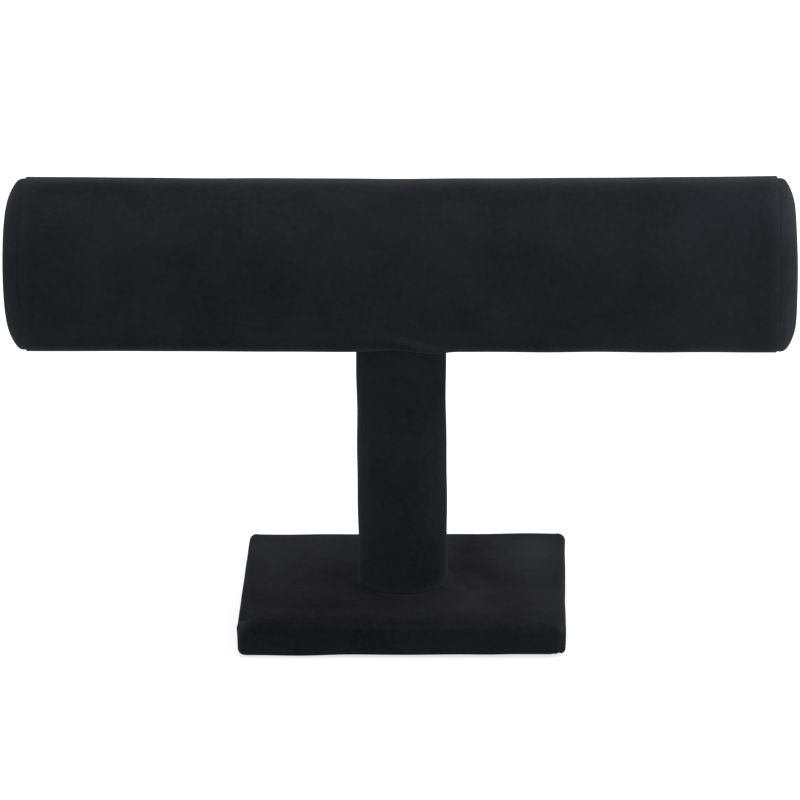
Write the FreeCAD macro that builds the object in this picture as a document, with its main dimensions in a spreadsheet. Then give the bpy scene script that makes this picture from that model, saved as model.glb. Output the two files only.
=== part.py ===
import FreeCAD, Part
import math
import os

import Sketcher

# A velvet bracelet display stand: a padded roll on a round post on a flat base.
# X runs along the roll, -Y is the front, +Z is up. The origin is the middle of
# the base's underside, on the table.

# Driving sizes in millimetres and degrees
SIZES = {
    # Velvet
    "cloth": 0.75,
    "seam_gap": 0.3,
    # Paperboard tube of the roll, and the velvet round it
    "tube_diameter": 50.8,
    "tube_wall": 2.4,
    "tube_length": 224.0,
    "axis_height": 112.2,
    "roll_edge_round": 1.2,
    "roll_hem": 9.0,
    "roll_seam_turn": 60.0,
    # Board discs that close the tube
    "plug_thick": 6.0,
    "plug_chamfer": 0.8,
    # Padded end caps
    "cap_step": 0.5,
    "cap_depth": 5.4,
    "cap_side": 0.9,
    "cap_rim_round": 2.4,
    "cap_shoulder_round": 11.0,
    "cap_back_bevel": 0.4,
    "cap_hem": 9.0,
    "card_thick": 1.2,
    "card_inset": 0.6,
    # Wooden post and the velvet round it
    "dowel_diameter": 25.4,
    "post_hem": 4.2,
    # Base board, its velvet and its liner
    "board_length": 97.5,
    "board_width": 75.0,
    "board_thick": 8.5,
    "board_corner": 2.25,
    "board_top_round": 1.25,
    "board_foot_round": 0.75,
    "base_hem": 13.0,
    "liner_thick": 0.5,
    "liner_inset": 3.0,
    "liner_corner": 2.0,
    # Block inside the tube that spreads the pull of the screws
    "block_length": 44.0,
    "block_width": 20.0,
    "block_height": 8.0,
    # Countersunk wood screws
    "screw_shank": 4.0,
    "screw_head": 8.0,
    "screw_point": 5.0,
    "screw_spacing": 11.0,
    "screw_play": 0.15,
    "recess_span": 4.4,
    "recess_width": 1.1,
    "recess_depth": 1.6,
    "base_screw_length": 35.0,
    "roll_screw_length": 30.0,
}

# Sizes that follow from them, as expressions over the sheet
TUBE_RADIUS = "(sizes.tube_diameter / 2)"
BORE_RADIUS = "(sizes.tube_diameter / 2 - sizes.tube_wall)"
ROLL_RADIUS = "(sizes.tube_diameter / 2 + sizes.cloth)"
PLUG_RADIUS = f"({BORE_RADIUS} - sizes.cloth)"
TUBE_END = "(sizes.tube_length / 2)"
ROLL_END = "(sizes.tube_length / 2 + sizes.cloth)"
CAP_RADIUS = f"({ROLL_RADIUS} - sizes.cap_step)"
DOWEL_RADIUS = "(sizes.dowel_diameter / 2)"
POST_RADIUS = "(sizes.dowel_diameter / 2 + sizes.cloth)"
BOARD_FOOT = "(sizes.liner_thick + sizes.cloth)"
BASE_TOP = "(sizes.liner_thick + 2 * sizes.cloth + sizes.board_thick)"
DOWEL_FOOT = f"({BASE_TOP} + sizes.cloth)"
BLOCK_FOOT = f"(sizes.axis_height - {BORE_RADIUS})"
BLOCK_TOP = f"({BLOCK_FOOT} + sizes.block_height)"
HEAD_DEPTH = "((sizes.screw_head - sizes.screw_shank) / 2)"

# How far a cutter reaches past the face that it goes through
OVERRUN = 1.0


def make_sheet(doc):
    """Put every driving size into a spreadsheet, one aliased cell each."""
    sheet = doc.addObject("Spreadsheet::Sheet", "sizes")
    for row, (name, size) in enumerate(SIZES.items(), start=1):
        sheet.set(f"A{row}", name)
        sheet.set(f"B{row}", str(size))
        sheet.setAlias(f"B{row}", name)
    doc.recompute()


def value(doc, expression):
    """The present value of an expression over the sheet."""
    return float(doc.getObject("sizes").evalExpression(expression))


# Building blocks: bodies, sketches and their features


def new_body(doc, label):
    """An empty body with its own label."""
    body = doc.addObject("PartDesign::Body", label)
    body.Label = label
    return body


def new_sketch(body, role, offset="0"):
    """A sketch on one of the body's origin planes, raised from it by an expression."""
    sketch = body.newObject("Sketcher::SketchObject", f"{body.Name}_sketch")
    plane = next(f for f in body.Origin.OriginFeatures if f.Role == role)
    sketch.AttachmentSupport = [(plane, "")]
    sketch.MapMode = "FlatFace"
    sketch.setExpression("AttachmentOffset.Base.z", offset)
    return sketch


def dimension(sketch, kind, *arguments):
    """Add a dimension whose last argument is an expression, and bind it to that."""
    *places, expression = arguments
    size = value(sketch.Document, expression)
    index = sketch.addConstraint(Sketcher.Constraint(kind, *places, size))
    sketch.setExpression(f"Constraints[{index}]", expression)


def constrain(sketch, kind, *places):
    """Add a constraint that has no size."""
    sketch.addConstraint(Sketcher.Constraint(kind, *places))


def draw_polygon(sketch, corners):
    """Draw a closed outline whose corners are pairs of expressions."""
    doc = sketch.Document
    points = [FreeCAD.Vector(value(doc, x), value(doc, y), 0) for x, y in corners]
    count = len(points)
    for k in range(count):
        sketch.addGeometry(Part.LineSegment(points[k], points[(k + 1) % count]), False)
    for k in range(count):
        constrain(sketch, "Coincident", k, 2, (k + 1) % count, 1)
    for k, (x, y) in enumerate(corners):
        dimension(sketch, "DistanceX", -1, 1, k, 1, x)
        dimension(sketch, "DistanceY", -1, 1, k, 1, y)


def draw_rectangle(sketch, length, width):
    """Draw a rectangle about the sketch's origin."""
    x, y = f"({length}) / 2", f"({width}) / 2"
    draw_polygon(sketch, [(f"-{x}", f"-{y}"), (x, f"-{y}"), (x, y), (f"-{x}", y)])


def draw_circle(sketch, radius):
    """Draw a circle about the sketch's origin."""
    middle = FreeCAD.Vector(0, 0, 0)
    upright = FreeCAD.Vector(0, 0, 1)
    circle = Part.Circle(middle, upright, value(sketch.Document, radius))
    sketch.addGeometry(circle, False)
    constrain(sketch, "Coincident", 0, 3, -1, 1)
    dimension(sketch, "Radius", 0, radius)


def pad(sketch, length):
    """Pad a sketch along its normal."""
    body = sketch.getParentGeoFeatureGroup()
    feature = body.newObject("PartDesign::Pad", f"{body.Name}_pad")
    feature.Profile = sketch
    feature.setExpression("Length", length)
    body.Document.recompute()
    return feature


def pocket(sketch, depth, reverse):
    """Cut a sketch into its body, and make sure that it took something away."""
    body = sketch.getParentGeoFeatureGroup()
    before = body.Tip.Shape.Volume
    feature = body.newObject("PartDesign::Pocket", f"{body.Name}_pocket")
    feature.Profile = sketch
    feature.setExpression("Length", depth)
    feature.Reversed = reverse
    body.Document.recompute()
    if not feature.Shape.Volume < before:
        raise RuntimeError(f"{feature.Name} cuts nothing")
    return feature


def revolve(sketch, axis):
    """Turn a sketch once round its own H_Axis or V_Axis."""
    body = sketch.getParentGeoFeatureGroup()
    feature = body.newObject("PartDesign::Revolution", f"{body.Name}_turned")
    feature.Profile = sketch
    feature.ReferenceAxis = (sketch, [axis])
    feature.Angle = 360
    body.Document.recompute()
    return feature


def ease_edges(kind, feature, size, test):
    """Fillet or chamfer each edge of a feature whose every corner and middle passes a test."""
    body = feature.getParentGeoFeatureGroup()
    names = []
    for k, edge in enumerate(feature.Shape.Edges, start=1):
        middle = edge.valueAt((edge.FirstParameter + edge.LastParameter) / 2)
        if all(test(point) for point in [v.Point for v in edge.Vertexes] + [middle]):
            names.append(f"Edge{k}")
    eased = body.newObject(f"PartDesign::{kind}", f"{body.Name}_{kind.lower()}")
    eased.Base = (feature, names)
    eased.setExpression("Radius" if kind == "Fillet" else "Size", size)
    body.Document.recompute()
    return eased


def near(first, second):
    """Whether two lengths are the same."""
    return abs(first - second) < 1e-6


def move(feature, x="0", y="0", z="0", turn=None):
    """Bind a feature's place, after an optional fixed turn given as (axis, degrees)."""
    if turn:
        axis, angle = turn
        feature.Placement = FreeCAD.Placement(
            FreeCAD.Vector(0, 0, 0), FreeCAD.Rotation(FreeCAD.Vector(*axis), angle)
        )
    for name, expression in (("x", x), ("y", y), ("z", z)):
        feature.setExpression(f"Placement.Base.{name}", expression)


def cut(doc, label, base, *tools):
    """What is left of base when the tools are taken out of it."""
    result = base
    for k, tool in enumerate(tools, start=1):
        last = k == len(tools)
        step = doc.addObject("Part::Cut", label if last else f"{label}_step_{k}")
        step.Base = result
        step.Tool = tool
        result = step
    return result


def common(doc, label, base, tool):
    """What two solids share."""
    shared = doc.addObject("Part::Common", label)
    shared.Base = base
    shared.Tool = tool
    return shared


def rounded_block(doc, label, sizes, foot, corner, top_round, foot_round):
    """A flat block about the Z axis with rounded corners, top edges and bottom edges."""
    length, width, height = sizes
    body = new_body(doc, label)
    sketch = new_sketch(body, "XY_Plane", foot)
    draw_rectangle(sketch, length, width)
    block = pad(sketch, height)
    half_length = value(doc, length) / 2
    half_width = value(doc, width) / 2
    low = value(doc, foot)
    high = low + value(doc, height)

    def on_upright(point):
        """Whether a point is on one of the four corner edges."""
        return near(abs(point.x), half_length) and near(abs(point.y), half_width)

    block = ease_edges("Fillet", block, corner, on_upright)
    if top_round:
        block = ease_edges("Fillet", block, top_round, lambda p: near(p.z, high))
    if foot_round:
        block = ease_edges("Fillet", block, foot_round, lambda p: near(p.z, low))
    return body


# Base


def base_board(doc, screw_cutters):
    """The rounded fibreboard base, countersunk from beneath for the two base screws."""
    board = board_form(doc, "base_board_blank")
    return cut(doc, "base_board", board, *screw_cutters)


def board_form(doc, label):
    """The outline of the base board."""
    return rounded_block(
        doc,
        label,
        ("sizes.board_length", "sizes.board_width", "sizes.board_thick"),
        BOARD_FOOT,
        "sizes.board_corner",
        "sizes.board_top_round",
        "sizes.board_foot_round",
    )


def base_velvet(doc, screw_cutters):
    """The velvet over the board: turned under all round, mitred at the corners of the hem."""
    outside = rounded_block(
        doc,
        "base_velvet_outside",
        (
            "sizes.board_length + 2 * sizes.cloth",
            "sizes.board_width + 2 * sizes.cloth",
            "sizes.board_thick + 2 * sizes.cloth",
        ),
        "sizes.liner_thick",
        "sizes.board_corner + sizes.cloth",
        "sizes.board_top_round + sizes.cloth",
        "sizes.board_foot_round + sizes.cloth",
    )
    inside = board_form(doc, "base_velvet_inside")
    window = new_body(doc, "base_velvet_window")
    sketch = new_sketch(window, "XY_Plane", f"sizes.liner_thick - {OVERRUN}")
    draw_rectangle(
        sketch,
        "sizes.board_length - 2 * sizes.base_hem",
        "sizes.board_width - 2 * sizes.base_hem",
    )
    pad(sketch, f"sizes.board_thick / 2 + {OVERRUN}")
    slits = [
        mitre_slit(doc, right, rear) for right in (-1, 1) for rear in (-1, 1)
    ]
    return cut(doc, "base_velvet", outside, inside, window, *slits, *screw_cutters)


def mitre_slit(doc, right, rear):
    """The slit along one mitre of the hem, from the window's corner to the board's corner."""
    side = ("left", "right")[right > 0] + ("_front", "_rear")[rear > 0]
    slit = doc.addObject("Part::Box", f"mitre_slit_{side}")
    run = "(sizes.base_hem - sizes.board_corner) * sqrt(2)"
    slit.setExpression("Length", f"{run} + {OVERRUN}")
    slit.setExpression("Width", "sizes.seam_gap")
    slit.setExpression("Height", f"sizes.cloth + 2 * {OVERRUN}")
    angle = math.degrees(math.atan2(rear, right))
    # The slit starts inside the window, and half its width lies each side of the mitre
    shift_x = f"sizes.seam_gap / 2 * sin({angle}) - {OVERRUN} * cos({angle})"
    shift_y = f"-sizes.seam_gap / 2 * cos({angle}) - {OVERRUN} * sin({angle})"
    move(
        slit,
        f"{right} * (sizes.board_length / 2 - sizes.base_hem) + {shift_x}",
        f"{rear} * (sizes.board_width / 2 - sizes.base_hem) + {shift_y}",
        f"sizes.liner_thick - {OVERRUN}",
        turn=((0, 0, 1), angle),
    )
    return slit


def base_liner(doc):
    """The thin card glued over the hem, which the stand rests on."""
    inset = "2 * (sizes.liner_inset - sizes.cloth)"
    return rounded_block(
        doc,
        "base_liner",
        (
            f"sizes.board_length - {inset}",
            f"sizes.board_width - {inset}",
            "sizes.liner_thick",
        ),
        "0",
        "sizes.liner_corner",
        None,
        None,
    )


# Screws


def screw_body(doc, label, length, play):
    """A screw along +Z from the face of its head, or the cutter for its hole with some play.

    A cutter also clears the way behind the head, and has no driver recess.
    """
    body = new_body(doc, label)
    head = "sizes.screw_head / 2"
    shank = f"(sizes.screw_shank / 2 + {play})"
    shoulder = f"({HEAD_DEPTH} - {play})"
    neck = f"({length} - sizes.screw_point)"
    behind = f"-{OVERRUN}" if play != "0" else "0"
    corners = [("0", behind), (head, behind)]
    if play != "0":
        corners.append((head, "0"))
    corners += [(shank, shoulder), (shank, neck), ("0", length)]
    sketch = new_sketch(body, "XZ_Plane")
    draw_polygon(sketch, corners)
    revolve(sketch, "V_Axis")
    if play == "0":
        cut_recess(body)
    return body


def cut_recess(body):
    """Cut the cross recess into the face of a screw's head."""
    arm = "(sizes.recess_span / 2)"
    half = "(sizes.recess_width / 2)"
    corners = []
    for across, along in ((1, 1), (-1, 1), (-1, -1), (1, -1)):
        turned = across * along < 0
        inner = (f"{across} * {half}", f"{along} * {half}")
        beside = (f"{across} * {half}", f"{along} * {arm}")
        outer = (f"{across} * {arm}", f"{along} * {half}")
        corners += [beside, inner, outer] if turned else [outer, inner, beside]
    sketch = new_sketch(body, "XY_Plane")
    draw_polygon(sketch, corners)
    pocket(sketch, "sizes.recess_depth", reverse=True)


def screw_pair(doc, label, length, height, upright, play="0"):
    """Two screws side by side along X, heads down if upright."""
    pair = []
    for side, sign in (("left", -1), ("right", 1)):
        screw = screw_body(doc, f"{label}_{side}", length, play)
        turn = ((1, 0, 0), 0 if upright else 180)
        move(screw, x=f"{sign} * sizes.screw_spacing / 2", z=height, turn=turn)
        pair.append(screw)
    return pair


def group(doc, label, members):
    """Like pieces of one kind, kept as separate solids under one name."""
    together = doc.addObject("Part::Compound", label)
    together.Links = members
    return together


# Post


def roll_form(doc, label, radius):
    """A plain cylinder along the roll's axis, as long as the tube."""
    form = doc.addObject("Part::Cylinder", label)
    form.setExpression("Radius", radius)
    form.setExpression("Height", "sizes.tube_length")
    move(form, x=f"-{TUBE_END}", z="sizes.axis_height", turn=((0, 1, 0), 90))
    return form


def post_dowel(doc, saddle, screws):
    """The wooden dowel, its top coped to sit against the wrapped roll."""
    blank = doc.addObject("Part::Cylinder", "post_dowel_blank")
    blank.setExpression("Radius", DOWEL_RADIUS)
    blank.setExpression("Height", f"sizes.axis_height - {DOWEL_FOOT}")
    move(blank, z=DOWEL_FOOT)
    return cut(doc, "post_dowel", blank, saddle, *screws)


def post_velvet(doc, saddle):
    """The velvet sleeve: coped with the dowel, turned under its foot, butted at the back."""
    body = new_body(doc, "post_velvet_sleeve")
    sketch = new_sketch(body, "XZ_Plane")
    hem_inside = f"{DOWEL_RADIUS} - sizes.post_hem"
    corners = [
        (hem_inside, BASE_TOP),
        (POST_RADIUS, BASE_TOP),
        (POST_RADIUS, "sizes.axis_height"),
        (DOWEL_RADIUS, "sizes.axis_height"),
        (DOWEL_RADIUS, DOWEL_FOOT),
        (hem_inside, DOWEL_FOOT),
    ]
    draw_polygon(sketch, corners)
    sleeve = revolve(sketch, "V_Axis")
    foot = value(doc, BASE_TOP)
    radius = value(doc, POST_RADIUS)

    def on_foot(point):
        """Whether a point is on the sleeve's outer bottom edge."""
        return near(point.z, foot) and near(math.hypot(point.x, point.y), radius)

    ease_edges("Fillet", sleeve, "sizes.cloth", on_foot)
    slit = doc.addObject("Part::Box", "post_velvet_slit")
    slit.setExpression("Length", "sizes.seam_gap")
    slit.setExpression("Width", f"{POST_RADIUS} + {OVERRUN}")
    slit.setExpression("Height", f"sizes.axis_height - {BASE_TOP} + {OVERRUN}")
    move(slit, x="-sizes.seam_gap / 2", z=f"{BASE_TOP} - {OVERRUN}")
    return cut(doc, "post_velvet", body, saddle, slit)


# Roll


def roll_tube(doc, screw_cutters):
    """The paperboard tube, drilled beneath for the two roll screws."""
    body = new_body(doc, "roll_tube_blank")
    sketch = new_sketch(body, "XZ_Plane")
    corners = [
        (f"-{TUBE_END}", BORE_RADIUS),
        (TUBE_END, BORE_RADIUS),
        (TUBE_END, TUBE_RADIUS),
        (f"-{TUBE_END}", TUBE_RADIUS),
    ]
    draw_polygon(sketch, corners)
    revolve(sketch, "H_Axis")
    move(body, z="sizes.axis_height")
    return cut(doc, "roll_tube", body, *screw_cutters)


def roll_velvet(doc, screw_cutters):
    """The velvet round the tube: turned in at both ends, butted along one line beneath."""
    body = new_body(doc, "roll_velvet_wrap")
    sketch = new_sketch(body, "XZ_Plane")
    hem_end = f"({TUBE_END} - sizes.roll_hem)"
    right_half = [
        (hem_end, PLUG_RADIUS),
        (ROLL_END, PLUG_RADIUS),
        (ROLL_END, ROLL_RADIUS),
    ]
    right_inside = [
        (TUBE_END, TUBE_RADIUS),
        (TUBE_END, BORE_RADIUS),
        (hem_end, BORE_RADIUS),
    ]
    corners = right_half
    corners += [(f"-{x}", radius) for x, radius in reversed(right_half)]
    corners += [(f"-{x}", radius) for x, radius in reversed(right_inside)]
    corners += right_inside
    draw_polygon(sketch, corners)
    wrap = revolve(sketch, "H_Axis")
    end = value(doc, ROLL_END)
    radius = value(doc, ROLL_RADIUS)

    def on_rim(point):
        """Whether a point is on the outer edge of either end."""
        return near(abs(point.x), end) and near(math.hypot(point.y, point.z), radius)

    ease_edges("Fillet", wrap, "sizes.roll_edge_round", on_rim)
    move(body, z="sizes.axis_height")
    return cut(doc, "roll_velvet", body, roll_slit(doc), *screw_cutters)


def roll_slit(doc):
    """The slit between the wrap's two edges, turned from the bottom towards the back."""
    body = new_body(doc, "roll_velvet_slit")
    sketch = new_sketch(body, "YZ_Plane", f"-{ROLL_END} - {OVERRUN}")
    edge = "sizes.seam_gap / 2"
    inner = f"-({PLUG_RADIUS} - {OVERRUN})"
    outer = f"-({ROLL_RADIUS} + {OVERRUN})"
    corners = [(f"-{edge}", outer), (edge, outer), (edge, inner), (f"-{edge}", inner)]
    draw_polygon(sketch, corners)
    pad(sketch, f"2 * ({ROLL_END} + {OVERRUN})")
    move(body, z="sizes.axis_height", turn=((1, 0, 0), 1))
    body.setExpression("Placement.Rotation.Angle", "sizes.roll_seam_turn")
    return body


def backing_block(doc, screw_cutters):
    """The wooden block inside the tube, rounded beneath to the bore and countersunk on top."""
    blank = doc.addObject("Part::Box", "backing_block_blank")
    blank.setExpression("Length", "sizes.block_length")
    blank.setExpression("Width", "sizes.block_width")
    blank.setExpression("Height", "sizes.block_height")
    move(blank, "-sizes.block_length / 2", "-sizes.block_width / 2", BLOCK_FOOT)
    bore = roll_form(doc, "backing_block_seat", BORE_RADIUS)
    seated = common(doc, "backing_block_seated", blank, bore)
    return cut(doc, "backing_block", seated, *screw_cutters)


# Ends of the roll


def to_end(feature, right):
    """Put a piece drawn outwards along +X from the roll's end on the right or left end."""
    turn = ((0, 0, 1), 0 if right else 180)
    x = ROLL_END if right else f"-{ROLL_END}"
    move(feature, x=x, z="sizes.axis_height", turn=turn)


def end_plug(doc, side, right):
    """The board disc glued into the tube's end, inside the turned-in velvet."""
    body = new_body(doc, f"{side}_end_plug")
    sketch = new_sketch(body, "YZ_Plane", "-sizes.plug_thick")
    draw_circle(sketch, PLUG_RADIUS)
    disc = pad(sketch, "sizes.plug_thick")
    inner = -value(doc, "sizes.plug_thick")
    ease_edges("Chamfer", disc, "sizes.plug_chamfer", lambda p: near(p.x, inner))
    to_end(body, right)
    return body


def cap_card(doc, side, right):
    """The card disc that stiffens an end cap."""
    body = new_body(doc, f"{side}_cap_card")
    sketch = new_sketch(body, "YZ_Plane", "sizes.cloth")
    draw_circle(sketch, f"{CAP_RADIUS} - sizes.cloth - sizes.card_inset")
    pad(sketch, "sizes.card_thick")
    to_end(body, right)
    return body


def cap_form(doc, label, inset):
    """A cushioned disc of revolution, drawn outwards from the roll's end and set in all round.

    Its half section goes up the back, along a short side, over a tight rim and a wide
    shoulder that run into one another, and down the flat front.
    """
    body = new_body(doc, label)
    sketch = new_sketch(body, "XZ_Plane")
    back = value(doc, inset)
    side = value(doc, "sizes.cap_side")
    outer = value(doc, f"{CAP_RADIUS} - {inset}")
    front = value(doc, f"sizes.cap_depth - {inset}")
    rim = value(doc, f"sizes.cap_rim_round - {inset}")
    shoulder = value(doc, f"sizes.cap_shoulder_round - {inset}")
    rim_centre = FreeCAD.Vector(side, outer - rim, 0)
    # The shoulder's centre is as far behind the front and from the rim's centre as the arcs ask
    ahead = rim_centre.x - (front - shoulder)
    below = math.sqrt((shoulder - rim) ** 2 - ahead**2)
    shoulder_centre = FreeCAD.Vector(front - shoulder, rim_centre.y - below, 0)
    rim_start = math.atan2(below, ahead)
    foot = FreeCAD.Vector(back, 0, 0)
    heel = FreeCAD.Vector(back, outer, 0)
    rim_end = FreeCAD.Vector(side, outer, 0)
    front_edge = FreeCAD.Vector(front, shoulder_centre.y, 0)
    front_middle = FreeCAD.Vector(front, 0, 0)
    sketch.addGeometry(Part.LineSegment(foot, heel), False)
    sketch.addGeometry(Part.LineSegment(heel, rim_end), False)
    sketch.addGeometry(arc(rim_centre, rim, rim_start, math.pi / 2), False)
    sketch.addGeometry(arc(shoulder_centre, shoulder, 0, rim_start), False)
    sketch.addGeometry(Part.LineSegment(front_edge, front_middle), False)
    sketch.addGeometry(Part.LineSegment(front_middle, foot), False)
    constrain(sketch, "Coincident", 5, 2, 0, 1)
    constrain(sketch, "Coincident", 0, 2, 1, 1)
    constrain(sketch, "Tangent", 1, 2, 2, 2)
    constrain(sketch, "Tangent", 2, 1, 3, 2)
    constrain(sketch, "Tangent", 3, 1, 4, 1)
    constrain(sketch, "Coincident", 4, 2, 5, 1)
    constrain(sketch, "Vertical", 0)
    constrain(sketch, "Horizontal", 1)
    constrain(sketch, "Vertical", 4)
    constrain(sketch, "PointOnObject", 0, 1, -1)
    constrain(sketch, "PointOnObject", 5, 1, -1)
    dimension(sketch, "DistanceX", -1, 1, 0, 1, inset)
    dimension(sketch, "DistanceX", -1, 1, 2, 3, "sizes.cap_side")
    dimension(sketch, "DistanceY", -1, 1, 2, 3, f"{CAP_RADIUS} - sizes.cap_rim_round")
    dimension(sketch, "DistanceX", -1, 1, 5, 1, f"sizes.cap_depth - {inset}")
    dimension(sketch, "Radius", 2, f"sizes.cap_rim_round - {inset}")
    dimension(sketch, "Radius", 3, f"sizes.cap_shoulder_round - {inset}")
    revolve(sketch, "H_Axis")
    return body


def arc(centre, radius, start, end):
    """An arc in a sketch's plane, anticlockwise from start to end in radians."""
    circle = Part.Circle(centre, FreeCAD.Vector(0, 0, 1), radius)
    return Part.ArcOfCircle(circle, start, end)


def cap_pad(doc, side, right, card):
    """The sponge between the card and the velvet, wrapped over the card's edge."""
    inside = cap_form(doc, f"{side}_cap_pad_blank", "sizes.cloth")
    to_end(inside, right)
    return cut(doc, f"{side}_cap_pad", inside, card)


def cap_velvet(doc, side, right):
    """The velvet over an end cap, gathered behind the card in a turned hem."""
    outside = cap_form(doc, f"{side}_cap_velvet_outside", "0")
    radius = value(doc, CAP_RADIUS)

    def on_back(point):
        """Whether a point is on the outer edge of the cap's back."""
        return near(point.x, 0) and near(math.hypot(point.y, point.z), radius)

    ease_edges("Chamfer", outside.Tip, "sizes.cap_back_bevel", on_back)
    to_end(outside, right)
    inside = cap_form(doc, f"{side}_cap_velvet_inside", "sizes.cloth")
    to_end(inside, right)
    window = new_body(doc, f"{side}_cap_velvet_window")
    sketch = new_sketch(window, "YZ_Plane", f"-{OVERRUN}")
    draw_circle(sketch, f"{CAP_RADIUS} - sizes.cap_hem")
    pad(sketch, f"sizes.cloth + sizes.card_thick / 2 + {OVERRUN}")
    to_end(window, right)
    return cut(doc, f"{side}_cap_velvet", outside, inside, window)


# The whole stand


def build(doc):
    """Make every sub-part and return each with the number of separate solids it has."""
    base_pair = screw_pair(doc, "base_screw", "sizes.base_screw_length", BOARD_FOOT, True)
    roll_pair = screw_pair(doc, "roll_screw", "sizes.roll_screw_length", BLOCK_TOP, False)
    play = "sizes.screw_play"
    base_holes = screw_pair(
        doc, "base_screw_hole", "sizes.base_screw_length", BOARD_FOOT, True, play
    )
    roll_holes = screw_pair(
        doc, "roll_screw_hole", "sizes.roll_screw_length", BLOCK_TOP, False, play
    )
    saddle = roll_form(doc, "post_saddle", ROLL_RADIUS)
    parts = [
        (base_liner(doc), 1),
        (base_board(doc, base_holes), 1),
        (base_velvet(doc, base_holes), 1),
        (group(doc, "base_screws", base_pair), 2),
        (post_dowel(doc, saddle, base_pair + roll_pair), 1),
        (post_velvet(doc, saddle), 1),
        (roll_tube(doc, roll_holes), 1),
        (roll_velvet(doc, roll_holes), 1),
        (backing_block(doc, roll_holes), 1),
        (group(doc, "roll_screws", roll_pair), 2),
    ]
    for side, right in (("left", False), ("right", True)):
        card = cap_card(doc, side, right)
        parts += [
            (end_plug(doc, side, right), 1),
            (card, 1),
            (cap_pad(doc, side, right, card), 1),
            (cap_velvet(doc, side, right), 1),
        ]
    return parts


def check(doc, parts):
    """Stop on any failed feature, and on any sub-part that isn't sound."""
    for feature in doc.Objects:
        if "Invalid" in feature.State or "Error" in feature.State:
            raise RuntimeError(f"{feature.Label} failed: {feature.State}")
    for part, solids in parts:
        shape = part.Shape
        if shape.isNull() or not shape.isValid():
            raise RuntimeError(f"{part.Label} has no valid shape")
        if len(shape.Solids) != solids:
            raise RuntimeError(f"{part.Label} has {len(shape.Solids)} solids")


def main():
    """Build the stand, check it and write each sub-part's file."""
    doc = FreeCAD.newDocument("bracelet_stand")
    make_sheet(doc)
    parts = build(doc)
    doc.recompute()
    check(doc, parts)
    os.makedirs("parts", exist_ok=True)
    for part, _ in parts:
        part.Shape.exportStep(f"parts/{part.Label}.step")
        print(f"{part.Label}: {part.Shape.Volume / 1000:.2f} cm3")


main()
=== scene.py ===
"""The looks of a black velvet bracelet stand, built round its packed construction model.

Everything is in metres. +X runs along the roll, -Y is the front, +Z is up, and the origin is
the middle of the base's underside, on the table. Each velvet cover and each sponge is worked
out as a grid of points. All other pieces keep their construction shapes and get their real
finishes.
"""

from __future__ import annotations

import logging
import math
from abc import ABC, abstractmethod
from collections.abc import Iterator, Sequence
from dataclasses import dataclass
from enum import Enum

import bpy
import numpy as np
from mathutils import Matrix, Vector

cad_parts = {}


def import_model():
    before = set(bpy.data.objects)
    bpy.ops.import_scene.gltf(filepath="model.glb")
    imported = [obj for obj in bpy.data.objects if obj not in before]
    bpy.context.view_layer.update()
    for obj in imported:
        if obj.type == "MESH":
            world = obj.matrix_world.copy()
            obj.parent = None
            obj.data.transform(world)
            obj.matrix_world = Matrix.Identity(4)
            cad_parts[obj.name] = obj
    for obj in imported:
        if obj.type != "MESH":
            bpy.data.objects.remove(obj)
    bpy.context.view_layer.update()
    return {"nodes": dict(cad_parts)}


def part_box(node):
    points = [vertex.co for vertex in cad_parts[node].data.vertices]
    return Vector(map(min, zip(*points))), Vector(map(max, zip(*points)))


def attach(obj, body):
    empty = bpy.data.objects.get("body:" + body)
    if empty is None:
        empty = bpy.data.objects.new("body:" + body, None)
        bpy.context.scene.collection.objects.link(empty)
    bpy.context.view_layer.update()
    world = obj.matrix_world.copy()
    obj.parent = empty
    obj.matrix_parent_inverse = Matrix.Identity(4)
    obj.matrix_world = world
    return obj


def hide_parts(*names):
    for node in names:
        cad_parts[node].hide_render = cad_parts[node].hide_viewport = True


LOG = logging.getLogger("bracelet_stand")

Array = np.ndarray
Colour = tuple[float, float, float]
Place = tuple[float, float, float]
Range = tuple[float, float]
FlatPlace = tuple[float, float]

MM = 0.001
BODY = "root"
WHITE: Colour = (1.0, 1.0, 1.0)
BLACK: Colour = (0.0, 0.0, 0.0)

# Two cloth edges that butt against one another stay this far apart
BUTT_GAP = 0.06 * MM

# Near a cut edge the grid's step shrinks to this share, within this many steps
EDGE_STEP = 0.16
EDGE_REACH = 1.2

# How many samples measure the density of a row of positions
DENSITY_SAMPLES = 2001

# Faces that meet at more than this angle, in degrees, are shaded apart
SHARP_ANGLE = 50

# How finely the noise is broken up, and the full core of a dot as a share of its reach
CLOUD_DETAIL = 3.0
FIBRE_DETAIL = 4.0
DOT_CORE = 0.6


class Held(Enum):
    """How a sheet of cloth is held in place."""

    STRETCHED = "stretched"


class Side(Enum):
    """An end of the roll, and the sign of its X."""

    LEFT = -1
    RIGHT = 1

    @property
    def word(self) -> str:
        """The side's name as the pieces use it."""
        return self.name.lower()


# Spacing, outlines and soft relief


@dataclass(frozen=True)
class Spot:
    """A place on a line round which points lie closer together."""

    place: float
    reach: float
    step: float


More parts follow.
